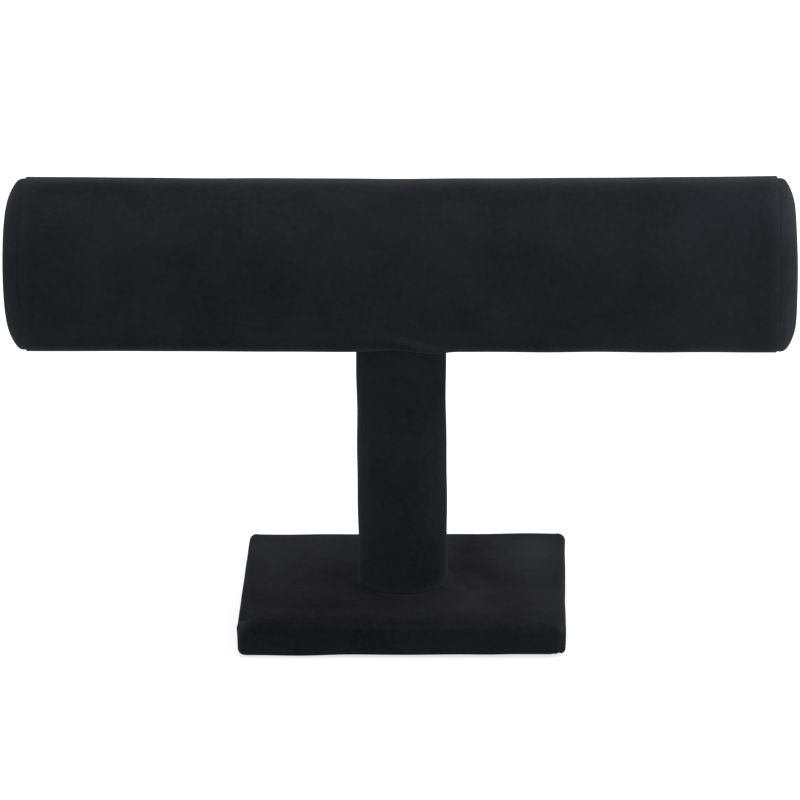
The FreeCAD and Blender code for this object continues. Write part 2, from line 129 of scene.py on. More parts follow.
def spaced(low: float, high: float, step: float, spots: Sequence[Spot] = ()) -> Array:
    """Positions from low to high, closer together near some spots.

    The density of positions is one per step, plus a bell over each spot that raises it to one
    per the spot's own step. Its running sum is turned round, so that equal shares of the sum
    give the positions.

    Args:
        low: The first position.
        high: The last position.
        step: The spacing away from the spots.
        spots: Where the spacing is finer.

    Returns:
        The positions, rising from low to high.
    """
    places = np.linspace(low, high, DENSITY_SAMPLES)
    density = np.full_like(places, 1 / step)
    for spot in spots:
        extra = 1 / spot.step - 1 / step
        density += extra * bell(places - spot.place, spot.reach)
    share = (density[1:] + density[:-1]) / 2 * np.diff(places)
    total = np.concatenate(([0.0], np.cumsum(share)))
    count = max(int(np.ceil(total[-1])), 1)
    return np.interp(np.linspace(0, total[-1], count + 1), total, places)


@dataclass(frozen=True)
class Outline:
    """A smooth line in a plane: its points, and the outward normal at each, on its left."""

    points: Array
    normals: Array

    @classmethod
    def straight(cls, start: FlatPlace, end: FlatPlace, parts: int | Array) -> Outline:
        """A straight run.

        Args:
            start: Where the run starts.
            end: Where it ends.
            parts: How many equal parts it has, or shares of the way from 0 to 1.

        Returns:
            The run as an outline.
        """
        shares = np.linspace(0, 1, parts + 1) if isinstance(parts, int) else parts
        first, last = np.array(start), np.array(end)
        ahead = (last - first) / np.linalg.norm(last - first)
        points = first + shares[:, None] * (last - first)
        normal = np.array((-ahead[1], ahead[0]))
        return cls(points, np.tile(normal, (len(shares), 1)))

    @classmethod
    def arc(
        cls, centre: FlatPlace, radius: float, start: float, end: float, parts: int
    ) -> Outline:
        """A round run: centre plus radius times (cosine, sine) of evenly spaced angles.

        Args:
            centre: The middle of the circle.
            radius: Its radius.
            start: The first angle in degrees.
            end: The last angle in degrees.
            parts: How many parts the arc has.

        Returns:
            The run as an outline, with normals that point away from the centre.
        """
        angle = np.radians(np.linspace(start, end, parts + 1))
        normals = np.stack((np.cos(angle), np.sin(angle)), axis=1)
        return cls(np.array(centre) + radius * normals, normals)

    @classmethod
    def joined(cls, *runs: Outline) -> Outline:
        """Runs one after another, each without the point that it shares with the one before.

        Args:
            runs: The runs, each starting where the one before ends.

        Returns:
            The joined outline.
        """
        points = [runs[0].points] + [run.points[1:] for run in runs[1:]]
        normals = [runs[0].normals] + [run.normals[1:] for run in runs[1:]]
        return cls(np.concatenate(points), np.concatenate(normals))

    def inside(self, depth: float) -> Array:
        """The line's points, moved in from its outward side by a depth."""
        return self.points - self.normals * depth

    def run(self) -> Array:
        """The length of the line up to each point."""
        steps = np.linalg.norm(np.diff(self.points, axis=0), axis=1)
        return np.concatenate(([0.0], np.cumsum(steps)))


@dataclass(frozen=True)
class Ripple:
    """Soft unevenness of stretched cloth.

    It is a sum of long waves through space, each a sine along a direction and with a phase
    that are drawn from a seed, so that it runs on across seams.
    """

    amplitude: float
    length: float
    seed: int
    waves: int = 9
    shortest: float = 0.6
    longest: float = 1.6

    def at(self, points: Array) -> Array:
        """The height of the unevenness at points in space.

        Args:
            points: Any number of points, the last axis being x, y and z.

        Returns:
            A height for each point.
        """
        draw = np.random.default_rng(self.seed)
        ways = draw.normal(size=(self.waves, 3))
        ways /= np.linalg.norm(ways, axis=1, keepdims=True)
        lengths = self.length * draw.uniform(self.shortest, self.longest, self.waves)
        phases = draw.uniform(0, 2 * math.pi, self.waves)
        turns = points @ (ways * (2 * math.pi / lengths)[:, None]).T + phases
        return self.amplitude * np.sin(turns).sum(axis=-1) / math.sqrt(self.waves / 2)


@dataclass(frozen=True)
class Crease:
    """A soft ridge along a gently bowed line on a cloth, in millimetres."""

    start: FlatPlace
    end: FlatPlace
    bow: float
    first_height: float
    last_height: float
    width: float
    fade: float = 0.25

    def at(self, along: Array, across: Array) -> Array:
        """The ridge's height in millimetres at places on the cloth in metres.

        The line runs from start to end and bows to one side as a parabola. Beside it the height
        falls off as a bell. Along it the height goes evenly from the first to the last value,
        and fades out at both ends as a smooth step over a share of the length.

        Args:
            along: First coordinate of each place.
            across: Second coordinate of each place.

        Returns:
            The height at each place.
        """
        share = (along / MM - self.start[0]) / (self.end[0] - self.start[0])
        middle = self.start[1] + share * (self.end[1] - self.start[1])
        middle = middle + self.bow * (1 - (2 * share - 1) ** 2)
        inside = smooth_step(share / self.fade) * smooth_step((1 - share) / self.fade)
        height = self.first_height + share * (self.last_height - self.first_height)
        return inside * height * bell(across / MM - middle, self.width)


@dataclass(frozen=True)
class Brushed:
    """A soft oval patch of cloth where the pile lies another way or light or shade is painted on
    it, or where it stands off more.

    Attributes:
        x: Its middle's first place on the cloth, in millimetres.
        y: Its middle's second place.
        length: How far it reaches along its own axis, in millimetres.
        width: How far it reaches to the side.
        strength: What it does in its middle: to the pile and the light and shade painted on it,
            from -1 for dark to 1 for light, or to the height, in millimetres.
        turn: The angle from the cloth's first axis to its own, in degrees.
    """

    x: float
    y: float
    length: float
    width: float
    strength: float
    turn: float = 0.0

    def at(self, along: Array, across: Array) -> Array:
        """What the patch does at places on the cloth in metres.

        The place is turned into the oval's own axes, and the strength falls off from the
        middle as a bell in both.

        Args:
            along: First coordinate of each place.
            across: Second coordinate of each place.

        Returns:
            The patch's effect at each place.
        """
        angle = math.radians(self.turn)
        dx, dy = along / MM - self.x, across / MM - self.y
        far = dx * math.cos(angle) + dy * math.sin(angle)
        side = dy * math.cos(angle) - dx * math.sin(angle)
        return self.strength * bell(far, self.length) * bell(side, self.width)


def summed(patches: Sequence[Brushed | Crease], along: Array, across: Array) -> Array:
    """What several patches or creases do together at places on the cloth in metres."""
    return sum(patch.at(along, across) for patch in patches)


def bell(distance: Array, width: float) -> Array:
    """One at no distance, falling off as the exponential of minus the square."""
    return np.exp(-((distance / width) ** 2))


def smooth_step(share: Array) -> Array:
    """Nought below 0, one above 1, and the cubic 3s^2 - 2s^3 between them."""
    held = np.clip(share, 0, 1)
    return held * held * (3 - 2 * held)


# Meshes


@dataclass(frozen=True)
class Sheet:
    """A cloth as two grids of points, its face and its back, which become one closed shell.

    Attributes:
        face: Points of the side that shows, rows by columns by 3.
        back: The matching points of the other side.
        flat: Where each point lies on the cloth when it is spread out, rows by columns by 2.
        nap: How the pile is brushed, with light and shade painted on it, at each
            point, from -1 for dark to 1 for light.
        ring: Whether the last column joins the first.
        pole: Whether the first row is a single point.
        kept: Which squares of the grid are cloth; the others are cut away.
    """

    face: Array
    back: Array
    flat: Array
    nap: Array
    ring: bool = False
    pole: bool = False
    kept: Array | None = None

    def squares(self) -> tuple[Array, Array]:
        """Whether each square is cloth, and the index of the column after each column.

        Returns:
            A truth for each square, and a column index for each column of squares.
        """
        rows, columns = self.nap.shape
        after = np.arange(1, columns + 1) % columns
        count = columns if self.ring else columns - 1
        kept = np.ones((rows - 1, count), bool) if self.kept is None else self.kept
        return kept, after[:count]

    def build(self, name: str) -> bpy.types.Object:
        """Make the closed shell.

        The face and the back are the grid's squares, the back's turned over. Wherever a square
        has no neighbour, a wall of the cloth's thickness joins the two sides. A square that
        touches the pole is a triangle.

        Args:
            name: The new piece's name.

        Returns:
            The piece, linked into the scene, with its place in its mesh.
        """
        rows, columns = self.nap.shape
        ids = np.arange(rows * columns).reshape(rows, columns)
        if self.pole:
            ids[0] = ids[0, 0]
        kept, after = self.squares()
        here = np.arange(kept.shape[1])
        upper, lower = ids[:-1], ids[1:]
        square = (upper[:, here], lower[:, here], lower[:, after], upper[:, after])
        corners = np.stack(square, axis=-1)[kept]
        under = rows * columns
        faces = [corners, corners[:, ::-1] + under]
        for first, second in self.borders(kept, square):
            faces.append(np.stack((second, first, first + under, second + under), axis=-1))
        quads = np.concatenate(faces)
        if self.faces_inward(quads):
            quads = quads[:, ::-1]
        return self.shell(name, quads)

    def borders(
        self, kept: Array, corners_of: tuple[Array, Array, Array, Array]
    ) -> Iterator[tuple[Array, Array]]:
        """The open edges of the kept squares, in the direction that each square turns.

        Args:
            kept: Which squares are cloth.
            corners_of: The squares' corners: top left, low left, low right and top right.

        Yields:
            The first and second points of all open edges on one side of the squares.
        """
        top_left, low_left, low_right, top_right = corners_of
        blank_row = np.zeros((1, kept.shape[1]), bool)
        blank_column = np.zeros((kept.shape[0], 1), bool)
        above = np.concatenate((blank_row, kept[:-1]))
        below = np.concatenate((kept[1:], blank_row))
        if self.ring:
            before, later = np.roll(kept, 1, axis=1), np.roll(kept, -1, axis=1)
        else:
            before = np.concatenate((blank_column, kept[:, :-1]), axis=1)
            later = np.concatenate((kept[:, 1:], blank_column), axis=1)
        open_above = kept & ~above
        if self.pole:
            open_above[0] = False
        yield top_left[kept & ~before], low_left[kept & ~before]
        yield low_left[kept & ~below], low_right[kept & ~below]
        yield low_right[kept & ~later], top_right[kept & ~later]
        yield top_right[open_above], top_left[open_above]

    def faces_inward(self, quads: Array) -> bool:
        """Whether the first faces, which are the cloth's face, look towards its back.

        Args:
            quads: All faces, as four point indices each.

        Returns:
            Whether they have to be turned over.
        """
        points = self.face.reshape(-1, 3)
        thick = points - self.back.reshape(-1, 3)
        picked = quads[: self.squares()[0].sum()]
        one = points[picked[:, 2]] - points[picked[:, 0]]
        other = points[picked[:, 3]] - points[picked[:, 1]]
        return bool((np.cross(one, other) * thick[picked[:, 0]]).sum() < 0)

    def shell(self, name: str, quads: Array) -> bpy.types.Object:
        """Turn four-cornered faces, some with a repeated corner, into a mesh object.

        Args:
            name: The piece's name.
            quads: All faces, as four point indices each.

        Returns:
            The new object.
        """
        used, quads = np.unique(quads, return_inverse=True)
        quads = quads.reshape(-1, 4)
        points = np.concatenate((self.face.reshape(-1, 3), self.back.reshape(-1, 3)))
        repeated = quads == np.roll(quads, -1, axis=1)
        whole = ~repeated.any(axis=1)
        pointed = quads[~whole][~repeated[~whole]].reshape(-1, 3)
        corners = np.concatenate((quads[whole].ravel(), pointed.ravel()))
        sizes = np.concatenate((np.full(whole.sum(), 4), np.full(len(pointed), 3)))
        return mesh_object(
            name,
            points[used],
            corners,
            sizes,
            np.tile(self.flat.reshape(-1, 2), (2, 1))[used],
            np.tile(self.nap.ravel(), 2)[used],
        )


def mesh_object(
    name: str, points: Array, corners: Array, sizes: Array, flat: Array, nap: Array
) -> bpy.types.Object:
    """Make a smooth mesh object out of arrays and link it into the scene.

    Args:
        name: The piece's name.
        points: The places of its vertices.
        corners: The vertex at each corner of each face, one face after another.
        sizes: How many corners each face has.
        flat: Where each vertex lies on the spread-out material.
        nap: How the pile is brushed, with light and shade painted on it, at each vertex.

    Returns:
        The new object.
    """
    mesh = bpy.data.meshes.new(name)
    mesh.vertices.add(len(points))
    mesh.vertices.foreach_set("co", points.astype(np.float32).ravel())
    mesh.loops.add(len(corners))
    mesh.loops.foreach_set("vertex_index", corners.astype(np.int32))
    mesh.polygons.add(len(sizes))
    starts = np.concatenate(([0], np.cumsum(sizes)[:-1]))
    mesh.polygons.foreach_set("loop_start", starts.astype(np.int32))
    mesh.polygons.foreach_set("loop_total", sizes.astype(np.int32))
    mesh.update(calc_edges=True)
    spread = mesh.uv_layers.new(name="flat")
    spread.uv.foreach_set("vector", flat[corners].astype(np.float32).ravel())
    # The attribute holds the brushed pile and the light and shade painted on it
    nap_and_light_layer = mesh.attributes.new("nap", "FLOAT", "POINT")
    nap_and_light_layer.data.foreach_set("value", nap.astype(np.float32))
    mesh.polygons.foreach_set("use_smooth", np.ones(len(sizes), bool))
    mesh.set_sharp_from_angle(angle=math.radians(SHARP_ANGLE))
    mesh.validate()
    return linked(name, mesh)


def linked(name: str, data: bpy.types.ID) -> bpy.types.Object:
    """A new object that holds a mesh, a lamp or a camera, linked into the scene.

    Args:
        name: The object's name.
        data: What it holds.

    Returns:
        The object.
    """
    made = bpy.data.objects.new(name, data)
    bpy.context.scene.collection.objects.link(made)
    return made


# Node trees


class Nodes:
    """Short ways to fill a node tree."""

    def __init__(self, tree: bpy.types.NodeTree) -> None:
        """Start with an existing tree."""
        self.tree = tree

    @classmethod
    def of(cls, owner: bpy.types.Material | bpy.types.World) -> Nodes:
        """The node tree of a new material or world, emptied.

        Args:
            owner: The material or world.

        Returns:
            Short ways to fill its tree.
        """
        owner.use_nodes = True
        owner.node_tree.nodes.clear()
        return cls(owner.node_tree)

    def add(
        self, kind: str, inputs: dict[str | int, object] | None = None, **settings: object
    ) -> bpy.types.Node:
        """Add a node.

        Args:
            kind: The node's type, without its ShaderNode prefix.
            inputs: For each input socket, another node's output or a plain value.
            settings: The node's own properties.

        Returns:
            The new node.
        """
        node = self.tree.nodes.new(f"ShaderNode{kind}")
        for name, setting in settings.items():
            setattr(node, name, setting)
        for name, source in (inputs or {}).items():
            socket = node.inputs[name]
            if isinstance(source, bpy.types.NodeSocket):
                self.tree.links.new(source, socket)
            elif socket.type == "RGBA" and len(source) == 3:
                socket.default_value = (*source, 1.0)
            else:
                socket.default_value = source
        return node

    def maths(self, operation: str, *values: object) -> bpy.types.NodeSocket:
        """The result of a Math node."""
        node = self.add("Math", dict(enumerate(values)), operation=operation)
        return node.outputs["Value"]

    def weighted(
        self, start: float, *parts: tuple[bpy.types.NodeSocket, float]
    ) -> bpy.types.NodeSocket:
        """A starting value plus each part's value times its weight.

        Args:
            start: The starting value.
            parts: Sockets with their weights.

        Returns:
            The sum.
        """
        total = start
        for source, weight in parts:
            total = self.maths("MULTIPLY_ADD", source, weight, total)
        return total

    def blend(self, share: object, low: object, high: object) -> bpy.types.NodeSocket:
        """A colour part of the way from low to high.

        Args:
            share: How much of the way.
            low: The colour at 0.
            high: The colour at 1.

        Returns:
            The colour.
        """
        sockets = {0: share, 6: low, 7: high}
        node = self.add("Mix", sockets, data_type="RGBA", clamp_factor=True)
        return node.outputs[2]

    def rescaled(self, source: object, low: float, high: float) -> bpy.types.NodeSocket:
        """A value from 0 to 1 taken to the range from low to high."""
        node = self.add("MapRange", {"Value": source, "To Min": low, "To Max": high})
        return node.outputs["Result"]

    def spread(
        self, noise: bpy.types.NodeSocket, contrast: bpy.types.NodeSocket
    ) -> bpy.types.NodeSocket:
        """Noise times its contrast about one half, held to 0 to 1.

        Args:
            noise: The noise.
            contrast: What it is multiplied by.

        Returns:
            The spread noise.
        """
        centred = self.maths("SUBTRACT", noise, 0.5)
        wider = self.maths("MULTIPLY_ADD", centred, contrast, 0.5)
        return self.add("Clamp", {"Value": wider}).outputs["Result"]

    def place(self) -> bpy.types.NodeSocket:
        """The point of the surface in the object's own coordinates."""
        return self.add("TexCoord").outputs["Object"]

    def shader(self, kind: str, inputs: dict[str | int, object]) -> bpy.types.NodeSocket:
        """What a shader node puts out."""
        return self.add(kind, inputs).outputs[0]


# Effects that several finishes share


class Effect(ABC):
    """A pattern as a shared node group, with the values that one finish gives it.

    The group has an input for the place and one for each field of the effect, and it puts out
    one value.
    """

    def inputs(self, where: bpy.types.NodeSocket | Place) -> dict[str | int, object]:
        """The place and the effect's own values, under the names of the group's inputs."""
        return {"Vector": where, **{name.title(): value for name, value in vars(self).items()}}

    def group(self) -> bpy.types.NodeTree:
        """The node group of this kind of effect, built at its first use.

        Returns:
            The node group, with one output named Value.
        """
        name = type(self).__name__.lower()
        if name in bpy.data.node_groups:
            return bpy.data.node_groups[name]
        tree = bpy.data.node_groups.new(name, "ShaderNodeTree")
        for socket, value in self.inputs(where=(0.0, 0.0, 0.0)).items():
            kind = "NodeSocketVector" if isinstance(value, tuple) else "NodeSocketFloat"
            tree.interface.new_socket(socket, in_out="INPUT", socket_type=kind)
        tree.interface.new_socket("Value", in_out="OUTPUT", socket_type="NodeSocketFloat")
        entry = tree.nodes.new("NodeGroupInput")
        leave = tree.nodes.new("NodeGroupOutput")
        tree.links.new(self.work_out(Nodes(tree), entry.outputs), leave.inputs["Value"])
        return tree

    def put(self, nodes: Nodes, where: bpy.types.NodeSocket) -> bpy.types.NodeSocket:
        """Place the effect in a material.

        Args:
            nodes: The material's node tree.
            where: The coordinates that the pattern follows.

        Returns:
            The effect's value.
        """
        return nodes.add("Group", self.inputs(where), node_tree=self.group()).outputs["Value"]

    @staticmethod
    @abstractmethod
    def work_out(nodes: Nodes, given: bpy.types.NodeInputs) -> bpy.types.NodeSocket:
        """Fill the group.

        Args:
            nodes: The group's node tree.
            given: The sockets that carry its inputs.

        Returns:
            The value that the group puts out.
        """


@dataclass(frozen=True)
class Mottle(Effect):
    """Cloudy unevenness: noise of a given size, spread about its middle by a contrast."""

    size: float
    contrast: float

    @staticmethod
    def work_out(nodes: Nodes, given: bpy.types.NodeInputs) -> bpy.types.NodeSocket:
        """Noise as fine as the size says.

        Args:
            nodes: The group's node tree.
            given: The sockets that carry its inputs.

        Returns:
            The value that the group puts out.
        """
        density = nodes.maths("DIVIDE", 1.0, given["Size"])
        inputs = {"Vector": given["Vector"], "Scale": density, "Detail": CLOUD_DETAIL}
        noise = nodes.add("TexNoise", inputs).outputs["Fac"]
        return nodes.spread(noise, given["Contrast"])


@dataclass(frozen=True)
class Streaks(Effect):
    """Fibres or grain: noise on coordinates divided by a length of its own along each axis."""

    lengths: Place
    contrast: float

    @staticmethod
    def work_out(nodes: Nodes, given: bpy.types.NodeInputs) -> bpy.types.NodeSocket:
        """Noise on the stretched coordinates.

        Args:
            nodes: The group's node tree.
            given: The sockets that carry its inputs.

        Returns:
            The value that the group puts out.
        """
        lengths = {0: given["Vector"], 1: given["Lengths"]}
        stretched = nodes.add("VectorMath", lengths, operation="DIVIDE").outputs["Vector"]
        inputs = {"Vector": stretched, "Scale": 1.0, "Detail": FIBRE_DETAIL}
        noise = nodes.add("TexNoise", inputs).outputs["Fac"]
        return nodes.spread(noise, given["Contrast"])


@dataclass(frozen=True)
class Specks(Effect):
    """Scattered dots: round spots about the middles of some of the cells that fill space."""

    spacing: float
    share: float
    reach: float

    @staticmethod
    def work_out(nodes: Nodes, given: bpy.types.NodeInputs) -> bpy.types.NodeSocket:
        """A dot where the cell is one of the chosen share and its middle is near.

        Args:
            nodes: The group's node tree.
            given: The sockets that carry its inputs.

        Returns:
            The value that the group puts out.
        """
        density = nodes.maths("DIVIDE", 1.0, given["Spacing"])
        cells = nodes.add("TexVoronoi", {"Vector": given["Vector"], "Scale": density})
        parts = nodes.add("SeparateColor", {"Color": cells.outputs["Color"]})
        least = nodes.maths("SUBTRACT", 1.0, given["Share"])
        chosen = nodes.maths("GREATER_THAN", parts.outputs[0], least)
        reach = nodes.maths("DIVIDE", cells.outputs["Distance"], given["Reach"])
        near = nodes.add("MapRange", {"Value": reach, "From Min": 1.0, "From Max": DOT_CORE})
        return nodes.maths("MULTIPLY", chosen, near.outputs["Result"])


@dataclass(frozen=True)
class Relief:
    """How far a height of 1 stands out of a surface, and how strongly it shades."""

    strength: float
    distance: float

    def normal(self, nodes: Nodes, height: bpy.types.NodeSocket) -> bpy.types.NodeSocket:
        """The surface's direction with heights from 0 to 1 on it."""
        inputs = {"Strength": self.strength, "Distance": self.distance, "Height": height}
        return nodes.add("Bump", inputs).outputs["Normal"]


# Finishes


class Finish(ABC):
    """The finish of a surface, made into a material at its first use."""

    name: str

    def material(self) -> bpy.types.Material:
        """The material, built if this is its first use.

        Returns:
            The material.
        """
        if self.name in bpy.data.materials:
            return bpy.data.materials[self.name]
        made = bpy.data.materials.new(self.name)
        nodes = Nodes.of(made)
        nodes.add("OutputMaterial", {"Surface": nodes.shader("BsdfPrincipled", self.look(nodes))})
        return made

    @abstractmethod
    def look(self, nodes: Nodes) -> dict[str | int, object]:
        """What goes into the sockets of the material's surface shader.

        Args:
            nodes: The material's node tree.

        Returns:
            A value or another node's output for each socket that isn't left as it is.
        """


@dataclass(frozen=True)
class Velvet(Finish):
    """Short black velvet pile: dark, softly mottled, pale at its edges from its sheen, and with
    light and shade painted into its colour through its nap.

    Each tone is what its source adds to the colour's share of the way from deep to light, and
    each rise is what it adds to the height.
    """

    name: str = "black_velvet"
    deep: Colour = (0.0045, 0.0051, 0.0064)
    light: Colour = (0.0225, 0.0234, 0.0280)
    patches: Mottle = Mottle(17 * MM, 1.5)
    clumps: Mottle = Mottle(1.6 * MM, 1.8)
    tufts: Mottle = Mottle(0.34 * MM, 2.0)
    rows: Streaks = Streaks((0.30 * MM, 5 * MM, 1.0), 1.6)
    rest_tone: float = 0.085
    # What the nap, brushed pile with painted light and shade on it, adds to the tone
    nap_tone: float = 0.40
    patch_tone: float = 0.36
    clump_tone: float = 0.19
    tuft_tone: float = 0.16
    row_tone: float = 0.04
    tuft_rise: float = 0.55
    row_rise: float = 0.12
    clump_rise: float = 0.35
    relief: Relief = Relief(0.8, 0.16 * MM)
    roughness: Range = (0.80, 0.95)
    sheen: float = 0.045
    sheen_roughness: float = 0.32
    sheen_tint: Colour = (1.0, 0.94, 1.0)

    def look(self, nodes: Nodes) -> dict[str | int, object]:
        """Colour from the nap with its painted light and shade, patches and clumps; relief from the
        tufts and their rows.

        Args:
            nodes: The material's node tree.

        Returns:
            What goes into the sockets of its surface shader.
        """
        place = nodes.place()
        flat = nodes.add("UVMap", uv_map="flat").outputs["UV"]
        nap = nodes.add("Attribute", attribute_name="nap").outputs["Fac"]
        patches = self.patches.put(nodes, place)
        clumps = self.clumps.put(nodes, place)
        tufts = self.tufts.put(nodes, place)
        rows = self.rows.put(nodes, flat)
        share = nodes.weighted(
            self.rest_tone,
            (nap, self.nap_tone),
            (patches, self.patch_tone),
            (clumps, self.clump_tone),
            (tufts, self.tuft_tone),
            (rows, self.row_tone),
        )
        height = nodes.weighted(
            0.0, (tufts, self.tuft_rise), (rows, self.row_rise), (clumps, self.clump_rise)
        )
        return {
            "Base Color": nodes.blend(share, self.deep, self.light),
            "Roughness": nodes.rescaled(clumps, *self.roughness),
            "Specular IOR Level": 0.0,
            "Sheen Weight": self.sheen,
            "Sheen Roughness": self.sheen_roughness,
            "Sheen Tint": self.sheen_tint,
            "Normal": self.relief.normal(nodes, height),
        }


class Follows(Enum):
    """Which pattern of a fibrous finish its roughness follows."""

    CLOUDS = "clouds"
    FIBRES = "fibres"


@dataclass(frozen=True)
class Fibrous(Finish):
    """Pressed fibres: a tone between dark and pale, and flecks of another colour.

    Attributes:
        name: The material's name.
        dark: The colour where clouds and fibres are 0.
        pale: The colour where they are 1.
        clouds: The broad unevenness.
        fibres: The fibres themselves.
        cloud_tone: What the clouds add to the share of the way from dark to pale.
        fibre_tone: What the fibres add to it.
        relief: How the fibres stand out.
        rough: Which pattern the roughness follows.
        roughness: Its least and greatest value.
        gloss: The level of its mirror shine.
        askew: How far the fibres are turned about each axis, in degrees.
        flecks: The pattern of the flecks, if it has any.
        fleck: Their colour.
    """

    name: str
    dark: Colour
    pale: Colour
    clouds: Mottle
    fibres: Streaks
    cloud_tone: float
    fibre_tone: float
    relief: Relief
    rough: Follows
    roughness: Range
    gloss: float
    askew: Place | None = None
    flecks: Specks | None = None
    fleck: Colour = BLACK

    def look(self, nodes: Nodes) -> dict[str | int, object]:
        """Colour from fibres, clouds and flecks; relief from the fibres.

        Args:
            nodes: The material's node tree.

        Returns:
            What goes into the sockets of its surface shader.
        """
        place = nodes.place()
        along = place
        if self.askew:
            rotation = tuple(math.radians(angle) for angle in self.askew)
            laid = nodes.add("Mapping", {"Vector": place, "Rotation": rotation})
            along = laid.outputs["Vector"]
        clouds = self.clouds.put(nodes, place)
        fibres = self.fibres.put(nodes, along)
        share = nodes.weighted(0.0, (fibres, self.fibre_tone), (clouds, self.cloud_tone))
        colour = nodes.blend(share, self.dark, self.pale)
        if self.flecks:
            colour = nodes.blend(self.flecks.put(nodes, place), colour, self.fleck)
        followed = fibres if self.rough is Follows.FIBRES else clouds
        return {
            "Base Color": colour,
            "Roughness": nodes.rescaled(followed, *self.roughness),
            "Specular IOR Level": self.gloss,
            "Normal": self.relief.normal(nodes, fibres),
        }


BLACK_CARD = Fibrous(
    name="black_card",
    dark=(0.013, 0.013, 0.014),
    pale=(0.030, 0.030, 0.032),
    clouds=Mottle(8 * MM, 1.4),
    fibres=Streaks((1.6 * MM, 0.25 * MM, 0.4 * MM), 2.2),
    cloud_tone=0.4,
    fibre_tone=0.5,
    relief=Relief(0.5, 0.04 * MM),
    rough=Follows.CLOUDS,
    roughness=(0.62, 0.78),
    gloss=0.35,
)
RAW_FIBREBOARD = Fibrous(
    name="raw_fibreboard",
    dark=(0.24, 0.15, 0.08),
    pale=(0.47, 0.33, 0.19),
    clouds=Mottle(6 * MM, 1.3),
    fibres=Streaks((1.4 * MM, 0.5 * MM, 0.2 * MM), 2.4),
    cloud_tone=0.45,
    fibre_tone=0.5,
    relief=Relief(0.6, 0.06 * MM),
    rough=Follows.FIBRES,
    roughness=(0.72, 0.9),
    gloss=0.25,
    flecks=Specks(1.8 * MM, 0.35, 0.22),
    fleck=(0.10, 0.06, 0.035),
)
WOUND_PAPERBOARD = Fibrous(
    name="wound_paperboard",
    dark=(0.25, 0.17, 0.10),
    pale=(0.44, 0.33, 0.21),
    clouds=Mottle(12 * MM, 1.4),
    fibres=Streaks((2.4 * MM, 0.3 * MM, 0.3 * MM), 2.0),
    cloud_tone=0.4,
    fibre_tone=0.55,
    relief=Relief(0.5, 0.05 * MM),
    rough=Follows.CLOUDS,
    roughness=(0.7, 0.85),
    gloss=0.25,
    askew=(32.0, 0.0, 28.0),
    flecks=Specks(2.5 * MM, 0.2, 0.12),
    fleck=(0.12, 0.09, 0.07),
)


class Grain(Enum):
    """The way that timber's grain runs, as the length of its streaks along each axis."""

    UPRIGHT = (1.1 * MM, 1.1 * MM, 26 * MM)
    ALONG = (26 * MM, 1.1 * MM, 1.1 * MM)

    def streaks(self, scale: float, contrast: float) -> Streaks:
        """Streaks that run this way, longer and thicker by the scale."""
        return Streaks(tuple(scale * length for length in self.value), contrast)


@dataclass(frozen=True)
class Timber(Finish):
    """Raw light hardwood with long grain and fine pores."""

    name: str
    grain: Grain
    dark: Colour = (0.40, 0.25, 0.13)
    pale: Colour = (0.66, 0.48, 0.29)
    broad_scale: float = 2.6
    broad_contrast: float = 1.8
    broad_tone: float = 0.6
    fine_scale: float = 0.3
    fine_contrast: float = 2.2
    fine_tone: float = 0.4
    relief: Relief = Relief(0.5, 0.05 * MM)
    roughness: Range = (0.5, 0.68)
    gloss: float = 0.35

    def look(self, nodes: Nodes) -> dict[str | int, object]:
        """Colour from broad and fine streaks; relief from the fine ones.

        Args:
            nodes: The material's node tree.

        Returns:
            What goes into the sockets of its surface shader.
        """
        place = nodes.place()
        broad = self.grain.streaks(self.broad_scale, self.broad_contrast).put(nodes, place)
        fine = self.grain.streaks(self.fine_scale, self.fine_contrast).put(nodes, place)
        share = nodes.weighted(0.0, (fine, self.fine_tone), (broad, self.broad_tone))
        return {
            "Base Color": nodes.blend(share, self.dark, self.pale),
            "Roughness": nodes.rescaled(fine, *self.roughness),
            "Specular IOR Level": self.gloss,
            "Normal": self.relief.normal(nodes, fine),
        }


@dataclass(frozen=True)
class Sponge(Finish):
    """Thin open-celled sponge, cream with darker pores."""

    name: str = "open_sponge"
    wall: Colour = (0.66, 0.62, 0.52)
    pore: Colour = (0.34, 0.31, 0.25)
    clouds: Mottle = Mottle(5 * MM, 1.2)
    large: Specks = Specks(0.9 * MM, 0.8, 0.42)
    small: Specks = Specks(0.4 * MM, 0.7, 0.4)
    small_depth: float = 0.7
    relief: Relief = Relief(0.8, 0.15 * MM)
    roughness: Range = (0.85, 0.98)
    gloss: float = 0.15

    def look(self, nodes: Nodes) -> dict[str | int, object]:
        """Colour and relief from round pores of two sizes, roughness from the clouds.

        Args:
            nodes: The material's node tree.

        Returns:
            What goes into the sockets of its surface shader.
        """
        place = nodes.place()
        clouds = self.clouds.put(nodes, place)
        large = self.large.put(nodes, place)
        small = self.small.put(nodes, place)
        pores = nodes.maths("MAXIMUM", large, nodes.maths("MULTIPLY", small, self.small_depth))
        height = nodes.maths("SUBTRACT", 1.0, pores)
        return {
            "Base Color": nodes.blend(pores, self.wall, self.pore),
            "Roughness": nodes.rescaled(clouds, *self.roughness),
            "Specular IOR Level": self.gloss,
            "Normal": self.relief.normal(nodes, height),
        }


